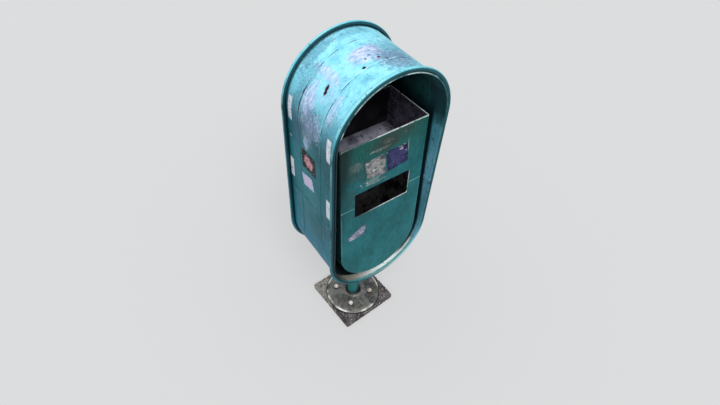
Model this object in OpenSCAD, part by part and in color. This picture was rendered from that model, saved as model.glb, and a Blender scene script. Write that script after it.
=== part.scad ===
// Post-mounted street litter bin with a mailbox-shaped hood.
// A fixed sheet casing stands on a post. A container with a front panel, a slot
// and an open tray tilts forward out of it for emptying, once a cam lock is open.
// Millimetres, +Z up, the front faces -Y. The origin is the centre of the
// underside of the paving slab, on the axis of the post.

/* [Footing] */
// Width of the square paving slab
slab_w = 300; // [290:5:420]
// Thickness of the slab
slab_t = 20; // [16:1:60]
// Turn of the slab and the flange about the post, in degrees
footing_turn = 3.5; // [0:0.5:45]
// Diameter of the post's flange
flange_d = 273; // [230:1:285]
// Thickness of the flange where its bolts sit
flange_t = 9; // [6:0.5:14]
// Thickness of the flange at its bevelled edge
flange_edge_t = 3; // [2:0.5:5]
// Diameter of the circle that the anchor bolts stand on
anchor_circle = 175; // [140:1:190]
// Thread diameter of the anchor bolts
anchor_d = 16; // [12:2:20]
// Number of anchor bolts
anchor_count = 4; // [3:1:6]

/* [Post] */
// Outer diameter of the post
post_d = 57; // [42:0.5:76]
// Wall of the post
post_wall = 3.5; // [2:0.5:6]
// Width of the saddle that carries the casing, across the bin
saddle_w = 150; // [135:5:200]
// Depth of the saddle, front to back
saddle_d = 170; // [150:5:240]
// Thickness of the saddle and its gussets
saddle_t = 5; // [3:0.5:8]
// Thread diameter of the bolts through the saddle
saddle_bolt_d = 10; // [6:1:12]

/* [Casing] */
// Overall width, across the rolled rims
casing_w = 490; // [460:5:640]
// Overall depth, from rim to rim
casing_d = 325; // [300:5:420]
// Length of the straight sides between the two half-rounds
casing_straight = 598; // [560:5:760]
// Height of the lowest rim above the ground
casing_clear = 375; // [250:5:900]
// Thickness of the casing's sheet
sheet_t = 2; // [1.5:0.1:3]
// Diameter of the rolled rims
rim_d = 16; // [10:1:20]
// Height of the lap seam above the axis of the lower half-round
seam_rise = 236; // [120:2:300]
// Overlap of the two wraps at the lap seam
seam_lap = 20; // [10:1:40]
// Distance of each pressed groove from the middle of the casing
groove_y = 68; // [30:1:100]
// Width of a pressed groove
groove_w = 3; // [2:0.5:6]
// Depth of a pressed groove
groove_depth = 0.6; // [0.3:0.1:1]
// Distance of the back panel inside the rear edge
back_inset = 12; // [8:1:18]

/* [Container] */
// Width of the tilting container
cradle_w = 376; // [350:2:400]
// Height of the front panel along its face
cradle_h = 751; // [720:1:780]
// Lean of the front panel back from upright, in degrees
lean = 3; // [1:0.5:4]
// Clear height between the casing's floor and the foot of the front panel
foot_rise = 55; // [50:1:70]
// Distance from the front panel's foot to the container's upright back
cradle_d = 262; // [240:1:268]
// Thickness of the container's sheet
cradle_t = 2; // [1.5:0.1:3]
// Width of the slot in the front panel
slot_w = 252; // [150:2:300]
// Height of the slot
slot_h = 123; // [80:1:150]
// Distance of the slot's upper edge below the panel's top edge, along the panel
slot_drop = 229; // [215:1:260]
// Corner radius of the slot
slot_r = 4; // [1:0.5:10]
// Height of the hem folded inside the panel's top edge
hem_h = 14; // [8:1:25]
// Depth of the open tray behind the panel's top edge, at its back
tray_depth = 166; // [120:1:180]
// Rise of the tray's floor towards the back, in degrees
tray_rise = 5; // [0:0.5:8]
// Height of the sill that keeps the liner in, at the container's open back
sill_h = 10; // [6:1:14]

/* [Liner] */
// Distance of the liner's rim below the slot's lower edge, along the panel
liner_drop = 14; // [5:1:140]
// Thickness of the liner's sheet
liner_t = 1.2; // [0.8:0.1:2]
// Clearance between the liner and the container
liner_gap = 2; // [1:0.5:4]
// Length of the liner's handle
handle_w = 120; // [90:5:160]
// Reach of the liner's handle
handle_reach = 30; // [24:1:34]
// Diameter of the handle's rod
handle_d = 8; // [6:0.5:10]

/* [Tilt hinge] */
// Distance of the hinge rod behind the front panel's foot
hinge_back = 43; // [40:1:60]
// Distance of the hinge rod below the front panel's foot
hinge_drop = 18; // [17:0.5:22]
// Diameter of the hinge rod
hinge_d = 12; // [8:0.5:14]
// Distance of each hinge lug from the middle
lug_x = 52; // [40:1:80]
// Thickness of a hinge lug and of a bracket
lug_t = 5; // [3:0.5:8]
// Largest tilt of the container, in degrees
tilt_max = 60; // [40:1:60]

/* [Lock] */
// Distance of the lock behind the container's upright back
lock_back = 24.5; // [21:0.5:27]
// Height of the lock below the container's top back corner
lock_drop = 72.3; // [65:0.1:110]
// Diameter of the lock's barrel
lock_d = 19; // [16:0.5:22]
// Diameter of the turning core
core_d = 12; // [9:0.5:13]

/* [Reflectors] */
// Width of a reflective strip
strip_w = 25; // [15:1:30]
// Height of a reflective strip
strip_h = 100; // [50:5:120]
// Thickness of a reflective strip
strip_t = 0.4; // [0.2:0.1:1]

/* [Fits] */
// Radial clearance of a shaft that turns in a bore
run_fit = 0.05; // [0.02:0.01:0.1]
// Radial clearance of a bolt in its hole
bolt_fit = 0.5; // [0.2:0.1:1]
// Clearance where one sheet is set inside another
set_gap = 0.2; // [0.1:0.05:0.4]
// Clearance at rest between pieces of different bodies
rest_gap = 0.3; // [0.3:0.05:0.5]

/* [Hidden] */
$fn = 192;
far = 2000;

// Casing: radii of the half-rounds and heights of their axes
casing_r = casing_w/2 - rim_d;
casing_in = casing_r - sheet_t;
low_z = casing_clear + casing_w/2;
high_z = low_z + casing_straight;
seam_z = low_z + seam_rise;
floor_z = low_z - casing_in;
back_y = casing_d/2 - back_inset - sheet_t;
seam_gap = 0.5;
joggle = 4;
lap_end = back_y - set_gap;

// Container: the foot of the front panel's outer face, and the upright back
cradle_r = cradle_w/2;
cradle_in = cradle_r - cradle_t;
foot_y = -casing_d/2;
foot_z = floor_z + foot_rise;
rear_y = foot_y + cradle_d;
slot_foot = cradle_h - slot_drop - slot_h;
liner_h = slot_foot - liner_drop;
top_back_z = foot_z + cradle_h*cos(lean) - (cradle_d - cradle_h*sin(lean))*tan(lean);
tray_back_z = top_back_z - tray_depth;
liner_rear_y = rear_y - 2*cradle_t;
shield_z = foot_z + liner_h + 15;

// Tilt hinge
hinge_y = foot_y + hinge_back;
hinge_z = foot_z - hinge_drop;
bush_d = hinge_d + 4;
eye_r = bush_d/2 + 4;
bush_flange_d = bush_d + 6;
bush_flange_t = 1.5;
bracket_x = lug_x + lug_t + bush_flange_t + 0.5;
bracket_base = 60;
rod_end = 6;
clip_t = 2;
clip_d = hinge_d + 10;
nose_reach = 20;
nose_r = 4.5;
nose_low_z = hinge_z - nose_reach*sin(tilt_max) - nose_r;

// Rest rail and its rubber buffers on the casing's back
rail_z = top_back_z - 56.3;
rail_w = 300;
rail_h = 44;
rail_flange = 18;
rail_t = 2.5;
buffer_x = 110;
buffer_d = 26;
buffer_l = 16;
stud_d = 6;
rail_y = rear_y + rest_gap + buffer_l;
rail_rivet_x = 130;
rivet_d = 5;
rivet_head_d = 9;
rivet_head_t = 1.6;

// Glue line under the reflective strips
film_gap = 0.05;

// Lock: everything is measured along its axis from the casing's outer face
lock_y = rear_y + lock_back;
lock_z = top_back_z - lock_drop;
lock_head_d = 26;
lock_head_t = 3;
barrel_l = 22;
barrel_nut_af = 24;
barrel_nut_t = 5;
cam_t = 3;
cam_reach = 40;
cam_half = 7;
cam_prong_w = 5;
cam_prong_h = 22;
cam_boss_r = 9;
neck_w = 8;
core_in = barrel_l + sheet_t + rest_gap;
screw_head_d = 10;
screw_head_t = 3;
screw_d = 4;
keeper_t = 3;
keeper_gap = 1;
keeper_h = 27;
keeper_foot = 33;

// Fasteners
anchor_af = 1.5*anchor_d;
anchor_head_t = 0.6*anchor_d;
anchor_washer_d = 1.9*anchor_d;
anchor_washer_t = 3;
anchor_nut_t = 0.5*anchor_d;
pocket_gap = 1;
saddle_bolt_x = 50;
saddle_bolt_y = 65;
saddle_washer_d = 2*saddle_bolt_d;
saddle_washer_t = 2;
saddle_nut_af = 1.7*saddle_bolt_d;
saddle_nut_t = 0.8*saddle_bolt_d;
cup_head_t = 5;

// Footing
hub_d = post_d + 24;
hub_rise = 6;
flange_flat_d = anchor_circle + anchor_washer_d + 18;
flange_top_z = slab_t + flange_t;
socket_floor = 3;
gusset_reach = 24;
gusset_drop = 70;

// Colours
hood_blue = "MediumTurquoise";
panel_green = "CadetBlue";
zinc = "LightGray";

// ---- Shared shapes ----

// Extrudes a drawing of the front view along Y, centred
module along_y(depth) {
    rotate([90, 0, 0]) linear_extrude(height = depth, center = true) children();
}

// Extrudes a drawing of the side view, drawn as [y, z], along X, centred
module along_x(width) {
    rotate([90, 0, 90]) linear_extrude(height = width, center = true) children();
}

// Places one child on each side of the middle
module both_sides(x) {
    for (side = [-1, 1]) translate([side*x, 0, 0]) children();
}

// The casing's outline, with two half-rounds of radius r
module stadium(r) {
    translate([0, low_z]) circle(r);
    translate([0, high_z]) circle(r);
    translate([-r, low_z]) square([2*r, casing_straight]);
}

// A band that follows the casing's outline, between two radii
module stadium_band(r_out, r_in) {
    difference() {
        stadium(r_out);
        stadium(r_in);
    }
}

// A rectangle with rounded corners, its lower edge on the X axis
module round_slot(w, h, r) {
    translate([-w/2, r]) square([w, h - 2*r]);
    translate([-w/2 + r, 0]) square([w - 2*r, h]);
    for (x = [-w/2 + r, w/2 - r], y = [r, h - r]) translate([x, y]) circle(r);
}

// The container's outline in its own upright frame: a U of radius r
module u_shape(r, top) {
    translate([0, cradle_r]) circle(r);
    translate([-r, cradle_r]) square([2*r, top - cradle_r]);
}

// Moves a child from the container's upright frame to its leaning place
module leaning() {
    translate([0, foot_y, foot_z]) rotate([-lean, 0, 0]) children();
}

// A leaning U prism that starts a distance behind the panel's face
module u_prism(r, top, start) {
    leaning() translate([0, start, 0]) rotate([90, 0, 0]) mirror([0, 0, 1])
        linear_extrude(height = 400) u_shape(r, top);
}

// Everything behind an upright plane at y
module behind(y) {
    translate([-far/2, y, 0]) cube([far, far, far]);
}

// An upright slice of the world between two planes, above z
module upright_slice(y_front, y_rear, z) {
    translate([-far/2, y_front, z]) cube([far, y_rear - y_front, far]);
}

// The space inside the casing's lower half-round
module trough_space() {
    translate([0, 0, low_z]) rotate([90, 0, 0]) cylinder(h = casing_d, r = casing_in - set_gap/2, center = true);
}

module hex_nut(af, t, bore_r) {
    difference() {
        cylinder(h = t, d = af/cos(30), $fn = 6);
        translate([0, 0, -1]) cylinder(h = t + 2, r = bore_r);
    }
}

module ring(d_out, r_in, t) {
    difference() {
        cylinder(h = t, d = d_out);
        translate([0, 0, -1]) cylinder(h = t + 2, r = r_in);
    }
}

// ---- Footing and post ----

module at_anchors() {
    for (i = [0 : anchor_count - 1])
        rotate([0, 0, footing_turn + 45 + i*360/anchor_count])
            translate([anchor_circle/2, 0, 0]) children();
}

// Paving slab, with a pocket under each anchor bolt
module base_slab() {
    color("DimGray") difference() {
        rotate([0, 0, footing_turn]) translate([-slab_w/2, -slab_w/2, 0]) cube([slab_w, slab_w, slab_t]);
        at_anchors() {
            translate([0, 0, -1]) cylinder(h = slab_t + 2, r = anchor_d/2 + bolt_fit);
            translate([0, 0, -1]) cylinder(h = anchor_head_t + pocket_gap + 1, r = anchor_af/cos(30)/2 + pocket_gap);
        }
    }
}

// Hexagon bolts that stand up through the slab and the flange
module anchor_bolts() {
    bolt_top = flange_top_z + anchor_washer_t + anchor_nut_t + 0.15*anchor_d;
    color(zinc) at_anchors() {
        translate([0, 0, pocket_gap]) cylinder(h = anchor_head_t, d = anchor_af/cos(30), $fn = 6);
        translate([0, 0, pocket_gap + anchor_head_t/2])
            cylinder(h = bolt_top - pocket_gap - anchor_head_t/2, d = anchor_d);
    }
}

// Round flange with a bevelled edge and a raised hub that holds the post's foot
module base_flange() {
    profile = [
        [0, 0], [flange_d/2, 0], [flange_d/2, flange_edge_t], [flange_flat_d/2, flange_t],
        [hub_d/2 + hub_rise, flange_t], [hub_d/2, flange_t + hub_rise], [0, flange_t + hub_rise]
    ];
    color("SlateGray") difference() {
        translate([0, 0, slab_t]) rotate_extrude() polygon(profile);
        translate([0, 0, slab_t + socket_floor]) cylinder(h = far, d = post_d + 2*set_gap);
        at_anchors() translate([0, 0, slab_t - 1]) cylinder(h = flange_t + 2, r = anchor_d/2 + bolt_fit);
    }
}

module anchor_washers() {
    color(zinc) at_anchors() translate([0, 0, flange_top_z])
        ring(anchor_washer_d, anchor_d/2 + bolt_fit/2, anchor_washer_t);
}

// Cap nuts: a hexagon with a dome over the bolt's end
module anchor_nuts() {
    dome_r = 0.46*anchor_af;
    inner_h = anchor_nut_t + 0.15*anchor_d + 0.5;
    color(zinc) at_anchors() translate([0, 0, flange_top_z + anchor_washer_t]) difference() {
        union() {
            cylinder(h = anchor_nut_t, d = anchor_af/cos(30), $fn = 6);
            translate([0, 0, anchor_nut_t]) intersection() {
                sphere(r = dome_r);
                cylinder(h = dome_r, r = dome_r);
            }
        }
        translate([0, 0, -1]) cylinder(h = inner_h + 1, r = anchor_d/2 + run_fit);
    }
}

// The space above the saddle's underside, to cut away
module saddle_underside() {
    translate([0, 0, low_z]) rotate([90, 0, 0])
        cylinder(h = casing_d*2, r = casing_r + 1.5*set_gap + saddle_t, center = true);
}

// Steel tube from the flange's socket up to the saddle, coped to its curve
module post() {
    color("SeaGreen") difference() {
        translate([0, 0, slab_t + socket_floor]) cylinder(h = low_z - slab_t, d = post_d);
        translate([0, 0, slab_t]) cylinder(h = low_z, d = post_d - 2*post_wall);
        saddle_underside();
    }
}

// Places a child on the casing's lower half-round, its +Z pointing into the casing
module on_trough(x, y) {
    translate([0, y, low_z]) rotate([0, -asin(x/casing_r), 0]) translate([0, 0, -casing_r]) children();
}

module at_saddle_bolts() {
    for (x = [-saddle_bolt_x, saddle_bolt_x], y = [-saddle_bolt_y, saddle_bolt_y]) on_trough(x, y) children();
}

module saddle_holes() {
    at_saddle_bolts() translate([0, 0, -20]) cylinder(h = 40, r = saddle_bolt_d/2 + bolt_fit);
}

// Curved plate under the casing
module saddle_plate() {
    color("SeaGreen") difference() {
        along_y(saddle_d) intersection() {
            translate([0, low_z]) difference() {
                circle(casing_r + set_gap + saddle_t);
                circle(casing_r + set_gap);
            }
            translate([-saddle_w/2, 0]) square([saddle_w, low_z]);
        }
        saddle_holes();
    }
}

// Four triangular gussets between the post and the saddle
module saddle_gussets() {
    top_z = floor_z;
    low = top_z - gusset_drop;
    start = post_d/2 + set_gap;
    outline = [[start, low], [start, top_z], [start + gusset_reach, top_z], [start + gusset_reach, low + gusset_drop/2]];
    color("SeaGreen") difference() {
        for (turn = [0 : 90 : 270]) rotate([0, 0, turn])
            rotate([90, 0, 0]) linear_extrude(height = saddle_t, center = true) polygon(outline);
        saddle_underside();
    }
}

// Cup-head bolts from inside the casing
module saddle_bolts() {
    below = set_gap + saddle_t + saddle_washer_t + saddle_nut_t + saddle_bolt_d/2;
    head_z = sheet_t + 0.5;
    color(zinc) at_saddle_bolts() {
        translate([0, 0, head_z]) cylinder(h = cup_head_t, d1 = 2*saddle_bolt_d, d2 = 1.2*saddle_bolt_d);
        translate([0, 0, -below]) cylinder(h = below + head_z + cup_head_t/2, d = saddle_bolt_d);
    }
}

module saddle_washers() {
    color(zinc) at_saddle_bolts() translate([0, 0, -saddle_t - 2*set_gap - 0.4 - saddle_washer_t])
        ring(saddle_washer_d, saddle_bolt_d/2 + bolt_fit/2, saddle_washer_t);
}

module saddle_nuts() {
    color(zinc) at_saddle_bolts() translate([0, 0, -saddle_t - 2*set_gap - 0.4 - saddle_washer_t - saddle_nut_t])
        hex_nut(saddle_nut_af, saddle_nut_t, saddle_bolt_d/2 + run_fit);
}

// ---- Casing ----

// The two pressed grooves, to cut from a wrap's outer face
module grooves() {
    for (side = [-1, 1]) translate([0, side*groove_y, 0])
        along_y(groove_w) stadium_band(casing_r + 1, casing_r - groove_depth);
}

// Lower wrap: a trough whose top edges are set inwards behind the upper wrap
module lower_wrap() {
    color(hood_blue) difference() {
        union() {
            along_y(casing_d) intersection() {
                stadium_band(casing_r, casing_in);
                translate([-far/2, 0]) square([far, seam_z - seam_gap]);
            }
            translate([0, (lap_end - casing_d/2)/2, 0]) along_y(lap_end + casing_d/2) lap_strips();
        }
        grooves();
        saddle_holes();
    }
}

// The lower wrap's two set-in edges, which stop short of the back panel
module lap_strips() {
    for (side = [0, 1]) mirror([side, 0, 0]) {
        translate([casing_in - sheet_t, seam_z - joggle]) square([1.5*sheet_t, joggle - seam_gap]);
        translate([casing_in - sheet_t, seam_z - joggle]) square([sheet_t, joggle + seam_lap]);
    }
}

// Upper wrap: the hood and the sides down to the lap seam, drilled for the lock
module upper_wrap() {
    color(hood_blue) difference() {
        along_y(casing_d) intersection() {
            stadium_band(casing_r, casing_in);
            translate([-far/2, seam_z]) square([far, far]);
        }
        grooves();
        at_lock() translate([0, 0, -10]) cylinder(h = 20, r = lock_d/2 + set_gap);
    }
}

// A hoop of round bar that follows the casing's outline
module rim_hoop() {
    path_r = casing_r + rim_d/2 + set_gap/2;
    translate([0, 0, high_z]) rotate([90, 0, 0]) rotate_extrude(angle = 180) translate([path_r, 0]) circle(d = rim_d);
    translate([0, 0, low_z]) rotate([90, 180, 0]) rotate_extrude(angle = 180) translate([path_r, 0]) circle(d = rim_d);
    both_sides(path_r) translate([0, 0, low_z]) cylinder(h = casing_straight, d = rim_d);
}

module front_rim() {
    color(hood_blue) translate([0, -casing_d/2 + rim_d/2, 0]) rim_hoop();
}

module rear_rim() {
    color(hood_blue) translate([0, casing_d/2 - rim_d/2, 0]) rim_hoop();
}

// Flat plate that closes the back
module back_panel() {
    color(hood_blue) difference() {
        translate([0, back_y + sheet_t/2, 0]) along_y(sheet_t) stadium(casing_in - set_gap);
        at_rail_rivets() translate([0, 0, -10]) cylinder(h = 20, r = rivet_d/2 + run_fit);
    }
}

// ---- Rest rail and buffers ----

// Places a child on the back panel's inner face, its +Z pointing backwards
module at_rail_rivets() {
    for (x = [-rail_rivet_x, rail_rivet_x], z = [-1, 1])
        translate([x, back_y, rail_z + z*(rail_h + rail_flange)/2]) rotate([-90, 0, 0]) children();
}

// Places a child on the rail's front face, its +Z pointing backwards
module at_buffers() {
    both_sides(buffer_x) translate([0, rail_y, rail_z]) rotate([-90, 0, 0]) children();
}

// Top-hat rail across the inside of the back panel
module rest_rail() {
    color(hood_blue) difference() {
        along_x(rail_w) translate([0, rail_z]) {
            translate([rail_y, -rail_h/2]) square([rail_t, rail_h]);
            for (side = [0, 1]) mirror([0, side, 0]) {
                translate([rail_y, rail_h/2 - rail_t]) square([back_y - rail_y, rail_t]);
                translate([back_y - rail_t, rail_h/2 - rail_t]) square([rail_t, rail_flange + rail_t]);
            }
        }
        at_rail_rivets() translate([0, 0, -10]) cylinder(h = 20, r = rivet_d/2 + run_fit);
        at_buffers() translate([0, 0, -1]) cylinder(h = rail_t + 2, r = stud_d/2 + bolt_fit);
    }
}

// Rivets through the rail and the back panel, headed on both sides
module rail_rivets() {
    color(zinc) at_rail_rivets() {
        translate([0, 0, -rail_t - rivet_head_t/2]) cylinder(h = rail_t + sheet_t + rivet_head_t, d = rivet_d);
        translate([0, 0, -rail_t - rivet_head_t]) cylinder(h = rivet_head_t, d = 0.8*rivet_head_d);
        translate([0, 0, sheet_t]) cylinder(h = rivet_head_t, d1 = rivet_head_d, d2 = rivet_d);
    }
}

// Rubber buffers with a moulded stud, for the container to lean on
module rest_buffers() {
    color("DimGray") at_buffers() {
        translate([0, 0, -buffer_l]) cylinder(h = buffer_l, d = buffer_d);
        translate([0, 0, -buffer_l/2]) cylinder(h = buffer_l/2 + rail_t + stud_d + 2, d = stud_d);
    }
}

module buffer_nuts() {
    color(zinc) at_buffers() translate([0, 0, rail_t]) hex_nut(1.7*stud_d, 0.8*stud_d, stud_d/2 + run_fit);
}

// ---- Tilt hinge, casing side ----

module at_hinge() {
    translate([0, hinge_y, hinge_z]) children();
}

module on_hinge_axis(h, r) {
    rotate([0, 90, 0]) cylinder(h = h, r = r, center = true);
}

// Two plates that stand on the casing's floor and hold the rod
module hinge_brackets() {
    outline = [
        [-bracket_base/2, -foot_rise], [bracket_base/2, -foot_rise], [bracket_base/2, -hinge_drop],
        [eye_r, 0], [-eye_r, 0], [-bracket_base/2, -hinge_drop]
    ];
    color(hood_blue) intersection() {
        both_sides(bracket_x) at_hinge() difference() {
            union() {
                on_hinge_axis(lug_t, eye_r);
                along_x(lug_t) polygon(outline);
            }
            on_hinge_axis(lug_t + 2, hinge_d/2 + run_fit);
        }
        trough_space();
    }
}

module hinge_rod() {
    color(zinc) at_hinge() on_hinge_axis(2*(bracket_x + lug_t/2 + clip_t + rod_end), hinge_d/2);
}

// Push-on retaining rings outside the brackets
module hinge_clips() {
    color(zinc) both_sides(bracket_x + lug_t/2 + set_gap + clip_t/2) at_hinge() difference() {
        on_hinge_axis(clip_t, clip_d/2);
        on_hinge_axis(clip_t + 2, hinge_d/2 + run_fit);
    }
}

// Rubber blocks on the floor that the lugs' noses meet at full tilt
module tilt_stops() {
    block_y = hinge_y - nose_reach*cos(tilt_max);
    color("DimGray") intersection() {
        both_sides(lug_x) translate([0, block_y, (floor_z + nose_low_z - rest_gap)/2])
            cube([lug_t + 2, 14, nose_low_z - rest_gap - floor_z], center = true);
        trough_space();
    }
}

// ---- Reflectors ----

// Four adhesive strips on the left side, near the rims, with heights that follow the lock's
module reflector_strips() {
    places = [
        [casing_d/2 - 38.5, lock_z + 121], [casing_d/2 - 29.5, lock_z - 164],
        [-casing_d/2 + 44, lock_z + 106], [-casing_d/2 + 45, lock_z - 176]
    ];
    color("Lavender") intersection() {
        along_y(casing_d) stadium_band(casing_r + film_gap + strip_t, casing_r + film_gap);
        for (place = places) translate([-casing_w/2, place[0] - strip_w/2, place[1] - strip_h/2])
            cube([casing_w/3, strip_w, strip_h]);
    }
}

// ---- Lock ----

// Places a child on the casing's left face, its +Z pointing into the casing
module at_lock() {
    translate([-casing_r, lock_y, lock_z]) rotate([0, 90, 0]) children();
}

// Threaded barrel with a round head outside
module lock_housing() {
    color(zinc) at_lock() difference() {
        union() {
            translate([0, 0, -lock_head_t]) cylinder(h = lock_head_t, d1 = lock_head_d - 3, d2 = lock_head_d);
            translate([0, 0, -lock_head_t/2]) cylinder(h = lock_head_t/2 + barrel_l + sheet_t, d = lock_d);
        }
        translate([0, 0, -lock_head_t - 1]) cylinder(h = far, r = core_d/2 + run_fit);
    }
}

module lock_nut() {
    color(zinc) at_lock() translate([0, 0, sheet_t]) hex_nut(barrel_nut_af, barrel_nut_t, lock_d/2 + run_fit);
}

// Turning core: a triangular key socket outside and a square neck for the cam inside
module lock_core() {
    color(zinc) at_lock() difference() {
        union() {
            translate([0, 0, -lock_head_t + 1]) cylinder(h = lock_head_t - 1 + core_in, d = core_d);
            translate([-neck_w/2, -neck_w/2, core_in - 1]) cube([neck_w, neck_w, cam_t + 1]);
        }
        translate([0, 0, -lock_head_t]) cylinder(h = 7, r = core_d/2 - 1.5, $fn = 3);
        translate([0, 0, core_in + cam_t - 12]) cylinder(h = 20, r = screw_d/2 + run_fit);
    }
}

// The hooked cam, drawn as [y, z] about the lock's axis where it is locked
module cam_outline() {
    circle(cam_boss_r);
    translate([-cam_reach, -cam_half]) square([cam_reach, 2*cam_half]);
    translate([-cam_reach, -cam_half]) square([cam_prong_w, cam_half + cam_prong_h]);
}

// Cam in its unlocked place, a quarter turn from the keeper
module lock_cam() {
    color(zinc) translate([-casing_r + core_in + cam_t/2, lock_y, lock_z]) rotate([90, 0, 0]) difference() {
        along_x(cam_t) cam_outline();
        cube([far, neck_w + 2*run_fit, neck_w + 2*run_fit], center = true);
    }
}

module cam_screw() {
    color(zinc) at_lock() {
        translate([0, 0, core_in + cam_t]) cylinder(h = screw_head_t, d1 = screw_head_d, d2 = 0.7*screw_head_d);
        translate([0, 0, core_in + cam_t - 10]) cylinder(h = 11, d = screw_d);
    }
}

// ---- Tilting container ----

// Front panel with the slot and a folded hem along its top edge
module front_panel() {
    color(panel_green) leaning() rotate([90, 0, 0]) mirror([0, 0, 1]) {
        linear_extrude(height = cradle_t) difference() {
            u_shape(cradle_r, cradle_h);
            translate([0, slot_foot]) round_slot(slot_w, slot_h, slot_r);
        }
        translate([-cradle_in + set_gap, cradle_h - hem_h, 0])
            cube([2*(cradle_in - set_gap), hem_h, 2*cradle_t]);
    }
}

// One sheet that makes the container's sides and its round bottom
module cradle_wrap() {
    color(panel_green) difference() {
        u_prism(cradle_r, cradle_h, cradle_t);
        u_prism(cradle_in, cradle_h + 10, cradle_t - 1);
        behind(rear_y);
    }
}

// Back plate: it backs the tray and shields the space above the liner
module cradle_back() {
    color(panel_green) intersection() {
        u_prism(cradle_in - set_gap, cradle_h, cradle_t);
        upright_slice(rear_y - cradle_t, rear_y, shield_z);
    }
}

// Low lip across the bottom of the open back
module back_sill() {
    sill_z = foot_z - cradle_d*tan(lean) + cradle_t + sill_h;
    color(panel_green) intersection() {
        u_prism(cradle_in - set_gap, cradle_h, cradle_t);
        translate([-cradle_r, rear_y - cradle_t, 0]) cube([cradle_w, cradle_t, sill_z]);
    }
}

// Floor of the open tray, falling gently to the front
module tray_floor() {
    color("DimGray") intersection() {
        u_prism(cradle_in - set_gap, cradle_h, cradle_t + set_gap);
        upright_slice(-far, rear_y - cradle_t - set_gap, 0);
        translate([0, rear_y, tray_back_z]) rotate([tray_rise, 0, 0])
            translate([-cradle_r, -400, -cradle_t]) cube([cradle_w, 500, cradle_t]);
    }
}

// A lug's outline about the hinge, drawn as [y, z]: eye, nose and a flared top
module lug_outline() {
    circle(eye_r);
    translate([-nose_reach, 0]) circle(nose_r);
    translate([-nose_reach, -nose_r]) square([nose_reach, 2*nose_r]);
    polygon([[-eye_r, 0], [-eye_r - 8, 40], [eye_r + 22, 40], [eye_r, 0]]);
}

// Two lugs welded under the container, cut to its round bottom
module hinge_lugs() {
    color(panel_green) difference() {
        both_sides(lug_x) at_hinge() difference() {
            along_x(lug_t) lug_outline();
            on_hinge_axis(lug_t + 2, bush_d/2 + run_fit);
        }
        u_prism(cradle_r, cradle_h, 0);
    }
}

// Flanged nylon bushes pressed into the lugs, flanges outwards
module hinge_bushes() {
    color("Ivory") for (side = [-1, 1]) translate([side*lug_x, 0, 0]) at_hinge() difference() {
        union() {
            on_hinge_axis(lug_t, bush_d/2);
            translate([side*(lug_t + bush_flange_t)/2, 0, 0]) on_hinge_axis(bush_flange_t, bush_flange_d/2);
        }
        on_hinge_axis(lug_t + 2*bush_flange_t + 2, hinge_d/2 + run_fit);
    }
}

// Keeper: a plate on the container's side with an ear that the hooked cam catches
module keeper() {
    ear_y = lock_y - cam_reach + cam_prong_w + keeper_gap;
    ear_z = lock_z + cam_half + keeper_gap + 1;
    cam_x = casing_r - core_in - cam_t;
    color(panel_green) {
        translate([-cradle_r - keeper_t, ear_y + keeper_t - keeper_foot, ear_z]) cube([keeper_t, keeper_foot, keeper_h]);
        translate([-cam_x - cam_t - 5, ear_y, ear_z]) cube([cam_x + cam_t + 5 - cradle_r, keeper_t, keeper_h]);
    }
}

// ---- Liner ----

// Liner outline: a U whose round bottom rests just above the container's
module liner_u(r, top) {
    translate([0, rest_gap - liner_gap]) u_shape(r, top);
}

module liner_prism(r, top, start) {
    leaning() translate([0, start, 0]) rotate([90, 0, 0]) mirror([0, 0, 1])
        linear_extrude(height = 400) liner_u(r, top);
}

// Removable galvanised tub that stands in the container
module liner() {
    outer_r = cradle_in - liner_gap;
    start = cradle_t + liner_gap;
    color("Silver") difference() {
        liner_prism(outer_r, liner_h, start);
        behind(liner_rear_y);
        difference() {
            liner_prism(outer_r - liner_t, liner_h + 10, start + liner_t);
            behind(liner_rear_y - liner_t);
        }
    }
}

// Bent rod handle on two foot plates, on the liner's back
module liner_handle() {
    bend = 14;
    z = foot_z + 0.65*liner_h;
    half = handle_w/2;
    color("Silver") translate([0, liner_rear_y, z]) {
        both_sides(half) {
            rotate([-90, 0, 0]) cylinder(h = handle_reach - bend, d = handle_d);
            rotate([-90, 0, 0]) cylinder(h = 2, d = 3*handle_d);
        }
        translate([0, handle_reach, 0]) rotate([0, 90, 0]) cylinder(h = handle_w - 2*bend, d = handle_d, center = true);
        for (side = [0, 1]) mirror([side, 0, 0])
            translate([half - bend, handle_reach - bend, 0]) rotate_extrude(angle = 90) translate([bend, 0]) circle(d = handle_d);
    }
}

base_slab();
anchor_bolts();
base_flange();
anchor_washers();
anchor_nuts();
post();
saddle_plate();
saddle_gussets();
saddle_bolts();
saddle_washers();
saddle_nuts();
lower_wrap();
upper_wrap();
front_rim();
rear_rim();
back_panel();
rest_rail();
rail_rivets();
rest_buffers();
buffer_nuts();
hinge_brackets();
hinge_rod();
hinge_clips();
tilt_stops();
reflector_strips();
lock_housing();
lock_nut();
lock_core();
lock_cam();
cam_screw();
front_panel();
cradle_wrap();
cradle_back();
back_sill();
tray_floor();
hinge_lugs();
hinge_bushes();
keeper();
liner();
liner_handle();
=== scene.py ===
"""A street litter bin with a mailbox-shaped hood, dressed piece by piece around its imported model."""

import math

import bmesh
import bpy
import numpy as np
from mathutils import Matrix, Vector


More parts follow.
